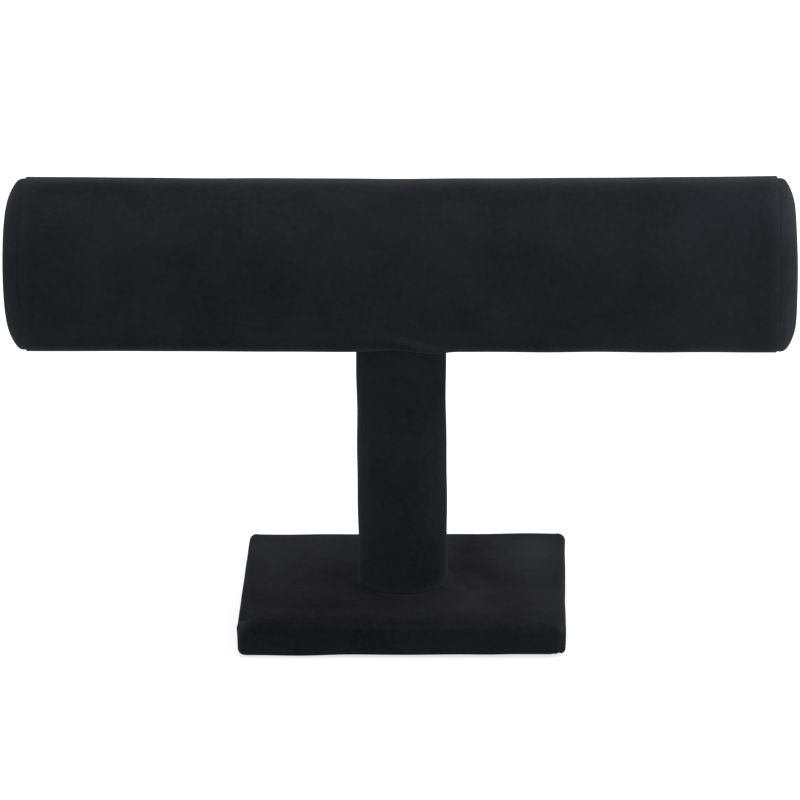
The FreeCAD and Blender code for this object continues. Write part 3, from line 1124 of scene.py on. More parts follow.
@dataclass(frozen=True)
class ZincSteel(Finish):
    """Zinc-plated screw steel with faint turning marks."""

    name: str = "zinc_steel"
    dark: Colour = (0.46, 0.45, 0.42)
    pale: Colour = (0.70, 0.69, 0.64)
    clouds: Mottle = Mottle(2 * MM, 1.8)
    turning: Streaks = Streaks((4 * MM, 4 * MM, 0.12 * MM), 2.0)
    relief: Relief = Relief(0.4, 0.02 * MM)
    roughness: Range = (0.28, 0.42)

    def look(self, nodes: Nodes) -> dict[str | int, object]:
        """Colour and roughness from clouds in the plating; relief from rings along the screw.

        Args:
            nodes: The material's node tree.

        Returns:
            What goes into the sockets of its surface shader.
        """
        place = nodes.place()
        clouds = self.clouds.put(nodes, place)
        turning = self.turning.put(nodes, place)
        return {
            "Base Color": nodes.blend(clouds, self.dark, self.pale),
            "Metallic": 1.0,
            "Roughness": nodes.rescaled(clouds, *self.roughness),
            "Normal": self.relief.normal(nodes, turning),
        }


# Pieces of the stand


@dataclass(frozen=True)
class Cover:
    """A finished soft piece, and the construction node that it stands for."""

    piece: bpy.types.Object
    node: str
    slot: str
    finish: Finish

    def seat(self) -> bpy.types.Object:
        """Dress the piece and put it in its node's place on the stand.

        Returns:
            The piece.
        """
        self.piece.data.materials.append(self.finish.material())
        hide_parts(self.node)
        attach(self.piece, BODY)
        LOG.info("%s: %d faces", self.piece.name, len(self.piece.data.polygons))
        return self.piece


def in_velvet(sheet: Sheet, node: str) -> Cover:
    """A sheet as the velvet that stands for a construction node."""
    return Cover(sheet.build(f"{node}_cloth"), node, "velvet", Velvet())


def half_size(node: str, axis: int) -> float:
    """Half of a construction node's extent along an axis."""
    low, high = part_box(node)
    return (high[axis] - low[axis]) / 2


def middle_height(node: str) -> float:
    """The height of a construction node's middle."""
    low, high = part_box(node)
    return (high.z + low.z) / 2


def round_roll(x: Array | float, radius: Array, turn: Array, height: float = 0.0) -> Array:
    """Carry points round the roll's axis.

    From the bottom by way of +Y, y is the radius times the sine of the turn, and z is the
    axis's height less the radius times its cosine.

    Args:
        x: Places along the roll.
        radius: Distances from its axis.
        turn: The angle of each column in radians.
        height: The axis's height, or nought where the points are directions.

    Returns:
        Rows by columns by 3.
    """
    y, z = radius * np.sin(turn), height - radius * np.cos(turn)
    return np.stack(np.broadcast_arrays(x, y, z), axis=-1)


def upright(plan: Array, height: Array) -> Array:
    """Points seen from above, rows by columns by 2, with a height for each row."""
    tall = np.broadcast_to(height[:, None, None], (*plan.shape[:2], 1))
    return np.concatenate((plan, tall), axis=-1)


def turned_edges(low: float, high: float, step: float, spots: Sequence[Spot]) -> Array:
    """Positions from one cut edge of a wrap to the other, finer at both edges.

    Args:
        low: The first edge.
        high: The last edge.
        step: The spacing away from the edges and spots.
        spots: Further places where the spacing is finer.

    Returns:
        The positions.
    """
    edges = [Spot(edge, EDGE_REACH * step, EDGE_STEP * step) for edge in (low, high)]
    return spaced(low, high, step, [*edges, *spots])


def tucked(distance: Array, depth: float, width: float) -> Array:
    """How far a cloth's face sinks near a cut edge: a bell of the distance to the edge."""
    return -depth * bell(distance, width)


@dataclass(frozen=True)
class Base:
    """The board that the stand rests on, in velvet that is turned under and mitred."""

    # Read from the frame: sizes over the velvet, its thickness, and the radius of the post
    half_length: float
    half_width: float
    top: float
    foot: float
    cloth: float
    post: float

    # The velvet's form, its hem measured from the board's edge
    corner: float = 3.0 * MM
    top_round: float = 2.0 * MM
    foot_round: float = 1.5 * MM
    hem: float = 13.0 * MM
    mitre_gap: float = 0.12 * MM

    # The grid
    spacing: float = 1.4 * MM
    corner_parts: int = 8
    round_parts: int = 7
    side_parts: int = 6
    hem_parts: int = 8

    # How the cloth stands off: at the corners, from just below the top, and elsewhere, all of
    # it fading out towards the middle of the top
    bunch: float = 0.22 * MM
    bunch_start: float = 0.1 * MM
    calm_share: float = 0.2
    ripple: Ripple = Ripple(0.05 * MM, 24 * MM, seed=11)
    reliefs: tuple[Brushed, ...] = (
        Brushed(50, -5, 3, 9, -0.30),
        Brushed(-48.5, -37.5, 3.5, 3.5, 0.30),
        Brushed(-38, -47.5, 22, 2.2, 0.28),
        Brushed(44, -47.5, 18, 2.6, -0.35),
        Brushed(54.8, -44.6, 5, 4, -0.60, turn=-45),
        Brushed(53, -36, 5, 6, 0.20),
        Brushed(-54.8, -43.6, 4, 4, 0.25, turn=45),
        Brushed(-38, 38, 14, 4, -0.26),
        Brushed(40, 38, 14, 4, 0.28),
    )

    # Painted shade all over the top, painted light in a ring round the post's foot that lifts the
    # shade where they meet, and marks that are partly brushed pile and partly painted light and
    # shade
    top_nap: float = -0.08
    ring_nap: float = 1.1
    ring_width: float = 1.1 * MM
    nap_marks: tuple[Brushed, ...] = (
        # Beside the post: brushed streaks, and painted light and shade
        Brushed(18.5, -11, 8, 1.8, 0.55, turn=-67),
        Brushed(22.7, -1.7, 4.4, 1.8, 0.50, turn=-80),
        Brushed(25.4, -11, 2.6, 2.8, 0.38),
        Brushed(27, 1.5, 2.6, 5, -0.22),
        Brushed(14, -2, 3, 5, 0.13),
        Brushed(-20, 4, 9, 9, -0.18),
        Brushed(19, 19, 6, 16, -0.73),
        Brushed(30, 2, 8, 9, -0.58),
        # The left of the top
        Brushed(-36, 27, 14, 7, 0.08),
        Brushed(-18, 26, 5, 8, -0.48),
        Brushed(-40, 20, 7, 6, 0.40),
        Brushed(-40, 8, 8, 9, 0.42),
        Brushed(-44, -14, 6, 10, -0.31),
        Brushed(-24, -22, 15, 9, -1.10),
        Brushed(-27, -30, 9, 3, -0.30),
        Brushed(-36, -34, 14, 5, -0.43),
        # The middle and the right of the top
        Brushed(0, -20, 14, 6, -0.20),
        Brushed(12, -30, 10, 5, -0.43),
        Brushed(22, 28, 8, 6, -0.19),
        Brushed(40, 18, 16, 8, 0.67, turn=80),
        Brushed(43, -8, 6, 8, 0.18),
        Brushed(31, -16, 9, 7, -0.35),
        Brushed(33, -29, 8, 5, -0.70),
        # The front, in painted shade and light: before its upper edge, on the edge, down its side
        # and on its lower edge
        Brushed(0, -35.6, 80, 4.6, -0.72),
        Brushed(0, -37.5, 80, 1, 0.42),
        Brushed(-20, -43, 50, 3.6, -0.30),
        Brushed(30, -43, 22, 3.6, -0.15),
        Brushed(0, -46.9, 80, 1, 0.40),
        # The front's corners, in painted sheen
        Brushed(-48.8, -37.5, 2.4, 1.8, 2.30, turn=45),
        Brushed(-52, -40.7, 5, 0.9, 0.90, turn=45),
        Brushed(48.8, -37.5, 2.4, 1.8, 1.20, turn=-45),
    )

    @classmethod
    def from_frame(cls) -> Base:
        """Read the sizes of the construction's base.

        Returns:
            The base, ready to be built.
        """
        low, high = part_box("base_velvet")
        return cls(
            half_length=high.x,
            half_width=high.y,
            top=high.z,
            foot=low.z,
            cloth=high.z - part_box("base_board")[1].z,
            post=half_size("post_velvet", 0),
        )

    def columns(self) -> tuple[Array, Array, Array]:
        """The ways from the middle of the base to its rim, once round.

        Each quarter is a side and the corner after it, turned by right angles from the front.
        On a side the core point moves between two corners and the way out is square to the
        side; round a corner the core point stays and the way out turns by a right angle.

        Returns:
            Core points as shares of the corner centres, the outward ways, and whether the
            square after each column belongs to a corner.
        """
        cores, ways, corner = [], [], []
        swing = np.radians(np.linspace(-90, 0, self.corner_parts + 1))[1:-1]
        for quarter in range(4):
            length = (self.half_length, self.half_width)[quarter % 2] - self.corner
            count = 2 * round(length / self.spacing)
            share = np.linspace(-1, 1, count + 1)
            core = np.stack((share, -np.ones_like(share)), axis=1)
            way = np.tile((0.0, -1.0), (count + 1, 1))
            core = np.concatenate((core, np.tile((1.0, -1.0), (len(swing), 1))))
            way = np.concatenate((way, np.stack((np.cos(swing), np.sin(swing)), axis=1)))
            turn = np.linalg.matrix_power(np.array(((0, -1), (1, 0))), quarter)
            cores.append(core @ turn.T)
            ways.append(way @ turn.T)
            corner.append(np.arange(len(core)) >= count)
        return np.concatenate(cores), np.concatenate(ways), np.concatenate(corner)

    def rim(self) -> Outline:
        """The section from the top's edge over the side to the hem's edge.

        Returns:
            The section, as insets from the base's outline, below 0, and heights.
        """
        top, foot = self.top_round, self.foot_round
        high, low = self.top - top, self.foot + foot
        hem_edge = (-self.hem - self.cloth, self.foot)
        return Outline.joined(
            Outline.arc((-top, high), top, 90, 0, self.round_parts),
            Outline.straight((0, high), (0, low), self.side_parts),
            Outline.arc((-foot, low), foot, 0, -90, self.round_parts),
            Outline.straight((-foot, self.foot), hem_edge, self.hem_parts),
        )

    def plan(self, inset: Array, core: Array, way: Array) -> Array:
        """Points of the rounded rectangle that lies inset from the base's outline.

        A corner's centre stays where it is until the inset has used up its radius, and moves
        inwards from there on. The cut edges of the mitres stay apart.

        Args:
            inset: How far inside the outline each row lies, as numbers below 0.
            core: The columns' core points.
            way: The columns' outward ways.

        Returns:
            Rows by columns by 2.
        """
        radius = np.maximum(self.corner + inset, 0)[:, None, None]
        beyond = np.maximum(-inset - self.corner, 0)[:, None, None]
        sizes = np.array((self.half_length, self.half_width)) - self.corner
        parted = smooth_step(beyond / self.cloth) * self.mitre_gap * math.sqrt(0.5)
        across = np.abs(way[:, ::-1])
        return core * (sizes - beyond - parted * across) + way * radius

    def rise(self, points: Array, way: Array, flat: Array) -> Array:
        """How far the cloth stands off the board: unevenness, bunched corners and reliefs.

        Args:
            points: The grid's points in space.
            way: The columns' outward ways.
            flat: Where each point lies on the spread-out cloth.

        Returns:
            A distance for each point.
        """
        z = points[..., 2]
        rounded = 2 * np.abs(way[:, 0] * way[:, 1])
        upper = smooth_step((z - self.foot) / (self.top - self.foot))
        below_top = np.where(z < self.top - self.bunch_start, 1.0, 0.0)
        bunched = self.bunch * rounded * upper * below_top
        raised = MM * summed(self.reliefs, flat[..., 0], flat[..., 1])
        return self.ripple.at(points) + bunched + raised

    def brushing(self, points: Array, flat: Array) -> Array:
        """Pile and painted light: brush marks with painted light and shade, painted shade on top,
        and painted light in a ring round the post's foot.

        Args:
            points: The grid's points in space.
            flat: Where each point lies on the spread-out cloth.

        Returns:
            A value for each point, from -1 for dark to 1 for light.
        """
        marks = summed(self.nap_marks, flat[..., 0], flat[..., 1])
        on_top = smooth_step((points[..., 2] - self.top + self.top_round) / self.top_round)
        from_post = np.hypot(points[..., 0], points[..., 1]) - self.post
        # Painted shade all over the top, and painted light in a ring round the post's foot that
        # lifts the shade where they meet
        ring = self.ring_nap * bell(from_post, self.ring_width)
        return marks + on_top * (self.top_nap + ring)

    def velvet(self) -> Cover:
        """The cloth over the board.

        Rows go from the middle of the top to its edge, as one outline scaled from nought to
        its full size, and then down the side and under the board.

        Returns:
            The finished cloth.
        """
        core, way, corner = self.columns()
        rim = self.rim()
        above = round(self.half_width / self.spacing)
        scale = np.concatenate((np.linspace(0, 1, above + 1)[:-1], np.ones(len(rim.points))))
        section = np.concatenate((np.tile(rim.points[0], (above, 1)), rim.points))
        normal = np.concatenate((np.tile(rim.normals[0], (above, 1)), rim.normals))
        run = np.concatenate((np.zeros(above), rim.run()))
        inner = section - normal * self.cloth
        outward = upright(normal[:, :1, None] * way, normal[:, 1])
        grown = scale[:, None, None]
        face = upright(self.plan(section[:, 0], core, way) * grown, section[:, 1])
        back = upright(self.plan(inner[:, 0], core, way) * grown, inner[:, 1])
        flat = self.plan(section[:1, 0], core, way) * grown + way * run[:, None, None]
        lift = self.rise(face, way, flat)[..., None] * smooth_step(grown / self.calm_share)
        nap = self.brushing(face, flat)
        kept = np.ones((len(scale) - 1, len(core)), bool)
        kept[np.ix_(section[1:, 0] < -self.corner, corner)] = False
        kept[: above + self.round_parts] = True
        raised = face + outward * lift
        sheet = Sheet(raised, back, flat, nap, ring=True, pole=True, kept=kept)
        return in_velvet(sheet, "base_velvet")

    @property
    def turned_down(self) -> float:
        """How much cloth goes over the side and under the board, from the base's outline."""
        return self.rim().run()[-1] - self.top_round

    def flat_size(self) -> FlatPlace:
        """The cloth's flat length and width."""
        return 2 * (self.half_length + self.turned_down), 2 * (self.half_width + self.turned_down)

    def flat_area(self) -> float:
        """The cloth's flat area, without its four mitred corners.

        Returns:
            The area.
        """
        length, width = self.flat_size()
        corner = self.turned_down * (self.turned_down - self.hem / 2)
        return length * width - 4 * corner


@dataclass(frozen=True)
class Post:
    """The dowel that carries the roll, in a velvet sleeve butted at the back."""

    # Read from the frame: the radii of sleeve and dowel, the sleeve's foot, and the radius and
    # the axis's height of the roll
    outside: float
    dowel: float
    foot: float
    saddle: float
    roll_height: float

    # The velvet's form: its hem measured from the dowel's side, and how far below the roll
    # its face and its inside end
    hem: float = 4.2 * MM
    foot_round: float = 0.3 * MM
    rest_gap: float = 0.16 * MM
    inner_gap: float = 0.02 * MM

    # The grid, with its step round the post in degrees
    spacing: float = 1.3 * MM
    turn_step: float = 4.0
    round_parts: int = 5
    hem_parts: int = 3

    # How the cloth stands off: sunk at the cut edges, gathered below the roll, full all round
    # and fuller on the left than on the right
    tuck_depth: float = 0.34 * MM
    tuck_width: float = 0.55 * MM
    gathers: int = 11
    gather_start: float = 0.7
    gather_height: float = 0.10 * MM
    gather_reach: float = 6.0 * MM
    full: float = 0.15 * MM
    fuller_left: float = 0.30 * MM
    ripple: Ripple = Ripple(0.06 * MM, 21 * MM, seed=5)

    # Painted light at the foot, which lifts the shade where the post meets the base, and marks
    # that are partly brushed pile and partly painted light and shade, by the distance round from
    # the front towards the right and the height
    foot_nap: float = 1.0
    foot_reach: float = 2.0 * MM
    nap_marks: tuple[Brushed, ...] = (
        Brushed(18, 58, 3.5, 16, 0.30),
        Brushed(-18, 55, 5, 34, 0.95),
        Brushed(5, 58, 7, 34, -0.24),
        Brushed(-8, 16, 6, 10, 0.50),
        Brushed(-2, 14, 5, 7, 0.20),
        Brushed(-8, 12.5, 7, 3, 0.35),
        Brushed(9.5, 17, 5, 10, -0.24),
        Brushed(-2, 84, 14, 5, -0.04),
        Brushed(-5, 62, 7, 9, 0.08, turn=20),
    )

    @classmethod
    def from_frame(cls) -> Post:
        """Read the sizes of the construction's post.

        Returns:
            The post, ready to be built.
        """
        return cls(
            outside=half_size("post_velvet", 0),
            dowel=half_size("post_dowel", 0),
            foot=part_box("post_velvet")[0].z,
            saddle=half_size("roll_velvet", 2),
            roll_height=middle_height("roll_velvet"),
        )

    @property
    def cloth(self) -> float:
        """The thickness of the velvet."""
        return self.outside - self.dowel

    def section(self) -> Outline:
        """From the highest point of the top edge down to the turned-under hem's edge.

        Returns:
            The sleeve's section, as radii and heights.
        """
        top = self.roll_height - self.rest_gap
        low = self.foot + self.foot_round
        count = round((top - low) / self.spacing)
        inside = self.outside - self.foot_round
        hem_edge = (self.dowel - self.hem, self.foot)
        return Outline.joined(
            Outline.straight((self.outside, top), (self.outside, low), count),
            Outline.arc((inside, low), self.foot_round, 0, -90, self.round_parts),
            Outline.straight((inside, self.foot), hem_edge, self.hem_parts),
        )

    def coped(self, section: Array, turn: Array, gap: float, lift: Array | float = 0.0) -> Array:
        """Carry a section round the post, its upright run squeezed to end on the roll.

        The roll's surface lies at the roll's height less the square root of its radius squared
        minus y squared. Heights above the foot's rounding keep their share of the way to it.

        Args:
            section: Radius and height of each row.
            turn: The angle of each column in radians, from the back by way of +X.
            gap: How far below the roll the top edge ends.
            lift: How far the cloth stands off its own radius.

        Returns:
            Rows by columns by 3.
        """
        radius = section[:, :1] + lift
        x, y = radius * np.sin(turn), radius * np.cos(turn)
        low = self.foot + self.foot_round
        share = np.clip((section[:, 1:] - low) / (section[0, 1] - low), 0, 1)
        drop = np.sqrt(self.saddle**2 - y**2) + gap
        top = self.roll_height - drop
        return np.stack((x, y, section[:, 1:] + share * (top - section[0, 1])), axis=-1)

    def velvet(self) -> Cover:
        """The sleeve, with both cut edges tucked in at the back and soft gathers at the top.

        Its top edge is bevelled: the inside runs on until it presses into the roll's pile.

        Returns:
            The finished cloth.
        """
        outline = self.section()
        gap = math.degrees(BUTT_GAP / 2 / self.outside)
        degrees = turned_edges(gap, 360 - gap, self.turn_step, ())
        turn = np.radians(degrees)
        face = self.coped(outline.points, turn, self.rest_gap)
        back = self.coped(outline.inside(self.cloth), turn, self.inner_gap)
        below_top = face[0, :, 2] - face[..., 2]
        from_cut = self.outside * np.radians(np.minimum(degrees, 360 - degrees))
        gathers = self.gather_height * np.cos(self.gathers * turn + self.gather_start)
        lift = self.ripple.at(face) + tucked(from_cut, self.tuck_depth, self.tuck_width)
        lift = lift + gathers * np.exp(-below_top / self.gather_reach)
        lift = lift + self.full - self.fuller_left * np.sin(turn)
        lift = lift * np.clip(outline.normals[:, :1], 0, 1)
        along = self.outside * (math.pi - turn)
        flat = np.stack(np.broadcast_arrays(along, -outline.run()[:, None]), axis=-1)
        nap = summed(self.nap_marks, along, face[..., 2])
        # Painted light at the foot lifts the shade where the post meets the base
        nap = nap + self.foot_nap * bell(face[..., 2] - self.foot, self.foot_reach)
        raised = self.coped(outline.points, turn, self.rest_gap, lift)
        return in_velvet(Sheet(raised, back, flat, nap), "post_velvet")

    def flat_size(self) -> FlatPlace:
        """The cloth's flat width, once round the post, and its length with the hem.

        Returns:
            Both lengths.
        """
        around = 2 * math.pi * (self.outside - self.cloth / 2)
        saddle_side = self.roll_height - math.sqrt(self.saddle**2 - self.outside**2)
        return around, saddle_side - self.foot + self.hem


@dataclass(frozen=True)
class Roll:
    """The tube that bracelets hang on, in velvet that is turned in at both ends."""

    # Read from the frame: radii over the velvet, over the tube and inside the turned-in hem,
    # the ends of velvet and tube from the middle, and the axis's height
    outside: float
    tube: float
    lining: float
    end: float
    tube_end: float
    height: float

    # The velvet's form: its hem inside the tube, its seam's angle from the bottom towards the
    # back, and the edges at both ends, outside and inside
    hem: float = 9.0 * MM
    seam_turn: float = 60.0
    rim_round: float = 0.22 * MM
    lip_round: float = 0.95 * MM

    # The grid, with its step round the roll in degrees, finer at the folds over the post
    spacing: float = 3.0 * MM
    turn_step: float = 4.6
    fine_along: Spot = Spot(2 * MM, 12 * MM, 0.7 * MM)
    fine_around: Spot = Spot(322.0, 20.0, 1.5)
    rim_parts: int = 6
    lip_parts: int = 4
    flat_parts: int = 3

    # How the cloth stands off: sunk at the cut edges, full all round, and slack below on the
    # right as much as it is tight on the left
    tuck_depth: float = 0.36 * MM
    tuck_width: float = 0.6 * MM
    full: float = 0.13 * MM
    slack_right: float = 0.20 * MM
    ripple: Ripple = Ripple(0.05 * MM, 34 * MM, seed=3)

    # How far the pile is worn down on top in the middle, and how much less at the ends
    worn: float = 0.38 * MM
    fuller_ends: float = 0.74 * MM

    # The folds over the post, and how far they hang down as a share of their height
    hang: float = 0.5
    folds: tuple[Crease, ...] = (
        Crease((-10, 19), (17, 9), bow=1.5, first_height=0.1, last_height=1.3, width=3, fade=0.35),
        Crease((-8, 24), (15, 19), bow=1.5, first_height=0.05, last_height=0.15, width=1.6),
    )

    # Painted light beside the caps, which lifts the shade in the seams, and marks that are partly
    # brushed pile and partly painted light and shade, by the place along the roll and the distance
    # round from the bottom towards the front
    cap_nap: float = 0.3
    cap_reach: float = 0.6 * MM
    nap_marks: tuple[Brushed, ...] = (
        # Over the post: a painted highlight on the fold, and painted shade in the hollow below it
        Brushed(6, 18.6, 9, 2.3, 1.0, turn=-32),
        Brushed(-2, 10.3, 16, 4.2, -1.2),
        # Bands along the whole roll: painted shade low on its front and before the top, and a
        # painted highlight behind the top
        Brushed(0, 18, 260, 4.5, -0.55),
        Brushed(0, 77.5, 260, 5, -0.35),
        Brushed(0, 87.5, 260, 5.5, 0.95),
        # Where the bands near the top are broken
        Brushed(-80, 82, 40, 6, -0.45),
        Brushed(-2, 74, 24, 7, 0.05),
        # Broad patches of the front, with painted light towards the right end
        Brushed(-62, 34, 22, 12, -0.14, turn=25),
        Brushed(66, 44, 16, 18, 0.14, turn=60),
        Brushed(102, 46, 16, 40, 0.36),
        Brushed(-95, 40, 34, 24, -0.12),
        # Painted light on the right end's edge
        Brushed(112.5, 70, 1.0, 60, 0.5),
    )

    @classmethod
    def from_frame(cls) -> Roll:
        """Read the sizes of the construction's roll.

        Returns:
            The roll, ready to be built.
        """
        return cls(
            outside=half_size("roll_velvet", 2),
            tube=half_size("roll_tube", 2),
            lining=half_size("left_end_plug", 2),
            end=half_size("roll_velvet", 0),
            tube_end=half_size("roll_tube", 0),
            height=middle_height("roll_velvet"),
        )

    @property
    def cloth(self) -> float:
        """The thickness of the velvet."""
        return self.outside - self.tube

    def section(self) -> Outline:
        """From the left hem round the tube's left end, along the roll, and in at the right.

        Returns:
            The wrap's section, as places along the roll and radii.
        """
        rim, lip = self.rim_round, self.lip_round
        inner, outer, end = self.lining, self.outside, self.end
        along = spaced(rim - end, end - rim, self.spacing, [self.fine_along])
        shares = (along - along[0]) / (along[-1] - along[0])
        hem_edge = self.tube_end - self.hem
        few = self.flat_parts
        return Outline.joined(
            Outline.straight((-hem_edge, inner), (lip - end, inner), few),
            Outline.arc((lip - end, inner + lip), lip, -90, -180, self.lip_parts),
            Outline.straight((-end, inner + lip), (-end, outer - rim), few),
            Outline.arc((rim - end, outer - rim), rim, 180, 90, self.rim_parts),
            Outline.straight((rim - end, outer), (end - rim, outer), shares),
            Outline.arc((end - rim, outer - rim), rim, 90, 0, self.rim_parts),
            Outline.straight((end, outer - rim), (end, inner + lip), few),
            Outline.arc((end - lip, inner + lip), lip, 0, -90, self.lip_parts),
            Outline.straight((end - lip, inner), (hem_edge, inner), few),
        )

    def velvet(self) -> Cover:
        """The wrap, with its cut edges tucked in along one line and folds over the post.

        Places on it are x and the distance round from the bottom towards the front. The folds
        lift both sides of the cloth, and let it hang a little towards the bottom.

        Returns:
            The finished cloth.
        """
        outline = self.section()
        inside = outline.inside(self.cloth)
        gap = math.degrees(BUTT_GAP / 2 / self.outside)
        low, high = self.seam_turn + gap, self.seam_turn + 360 - gap
        degrees = turned_edges(low, high, self.turn_step, [self.fine_around])
        turn = np.radians(degrees)
        face = round_roll(outline.points[:, :1], outline.points[:, 1:], turn, self.height)
        back = round_roll(inside[:, :1], inside[:, 1:], turn, self.height)
        outward = round_roll(outline.normals[:, :1], outline.normals[:, 1:], turn)
        downhill = np.stack((np.zeros_like(turn), np.cos(turn), np.sin(turn)), axis=-1)
        x = face[..., 0]
        front = self.outside * (2 * math.pi - turn)
        outer = smooth_step((outline.points[:, 1:] - self.tube) / self.cloth)
        folds = (MM * outer * summed(self.folds, x, front))[..., None]
        from_cut = self.outside * np.radians(np.minimum(degrees - low, high - degrees))
        pile = self.full + self.ripple.at(face) + tucked(from_cut, self.tuck_depth, self.tuck_width)
        pile = (pile + self.wear(x, turn)) * outer * np.clip(outline.normals[:, 1:], 0, 1)
        shift = folds * (outward + self.hang * downhill)
        run = outline.run()[:, None]
        flat = np.stack(np.broadcast_arrays(run - run.max() / 2, front), axis=-1)
        nap = summed(self.nap_marks, x, front)
        # Painted light beside the caps lifts the shade in the seams
        nap = nap + self.cap_nap * bell(self.end - np.abs(x), self.cap_reach)
        sheet = Sheet(face + shift + outward * pile[..., None], back + shift, flat, nap)
        return in_velvet(sheet, "roll_velvet")

    def wear(self, x: Array, turn: Array) -> Array:
        """How the pile has been worn down on top, and how slack the cloth hangs below.

        On top it is a parabola along the roll, lowest at the middle. Below it is a straight
        line, from tight on the left to slack on the right. Both fade towards the sides as the
        squared cosine of the turn.

        Args:
            x: Places along the roll.
            turn: The angles of the columns in radians.

        Returns:
            How much further the cloth stands out at each place.
        """
        share = x / self.end
        top = self.fuller_ends * share**2 - self.worn
        upper, lower = np.clip(-np.cos(turn), 0, 1) ** 2, np.clip(np.cos(turn), 0, 1) ** 2
        return upper * top + lower * self.slack_right * share

    def flat_size(self) -> FlatPlace:
        """The cloth's flat width, once round the tube, and its length with both hems."""
        return 2 * math.pi * (self.tube + self.cloth / 2), self.section().run()[-1]


@dataclass(frozen=True)
class Slump:
    """How an end cap's padding has settled, and the light and shade painted on its velvet.

    Attributes:
        crown: How far the middle of its front bulges out.
        sag: How far it has sunk towards the bottom.
        nap: Painted light all over the cap, more on the right cap than on the
            left, from -1 for dark to 1 for light.
        seam_nap: Painted light added to that next to the roll, where it lifts the seam's shade.
        puffs: Places on its spread-out cloth that the padding pushes out further.
        nap_marks: Marks on its pile, partly brushed and partly painted light and shade.
    """

    crown: float
    sag: float
    nap: float
    seam_nap: float
    puffs: tuple[Brushed, ...]
    nap_marks: tuple[Brushed, ...]


SLUMPS = {
    Side.LEFT: Slump(
        crown=1.15 * MM,
        sag=-0.15 * MM,
        nap=0.12,
        seam_nap=0.50,
        puffs=(Brushed(9.2, 24.9, 10, 4, 0.40, turn=-20),),
        nap_marks=(
            Brushed(-20, 16, 5, 7, 0.15),
            Brushed(-20, 0, 3.5, 15, -0.35),
        ),
    ),
    Side.RIGHT: Slump(
        crown=0.95 * MM,
        sag=0.25 * MM,
        nap=0.35,
        seam_nap=1.25,
        puffs=(
            Brushed(-9.2, -24.9, 10, 4, 0.60, turn=-20),
            Brushed(9.2, 24.9, 10, 4, 0.35, turn=-20),
        ),
        nap_marks=(
            Brushed(-19, 20, 3.5, 5, 0.55, turn=-40),
            Brushed(-25, 5, 2.5, 3, 0.25),
            Brushed(-25, -9, 3, 5, 0.15),
            Brushed(-11, 0, 8, 18, 1.0),
        ),
    ),
}


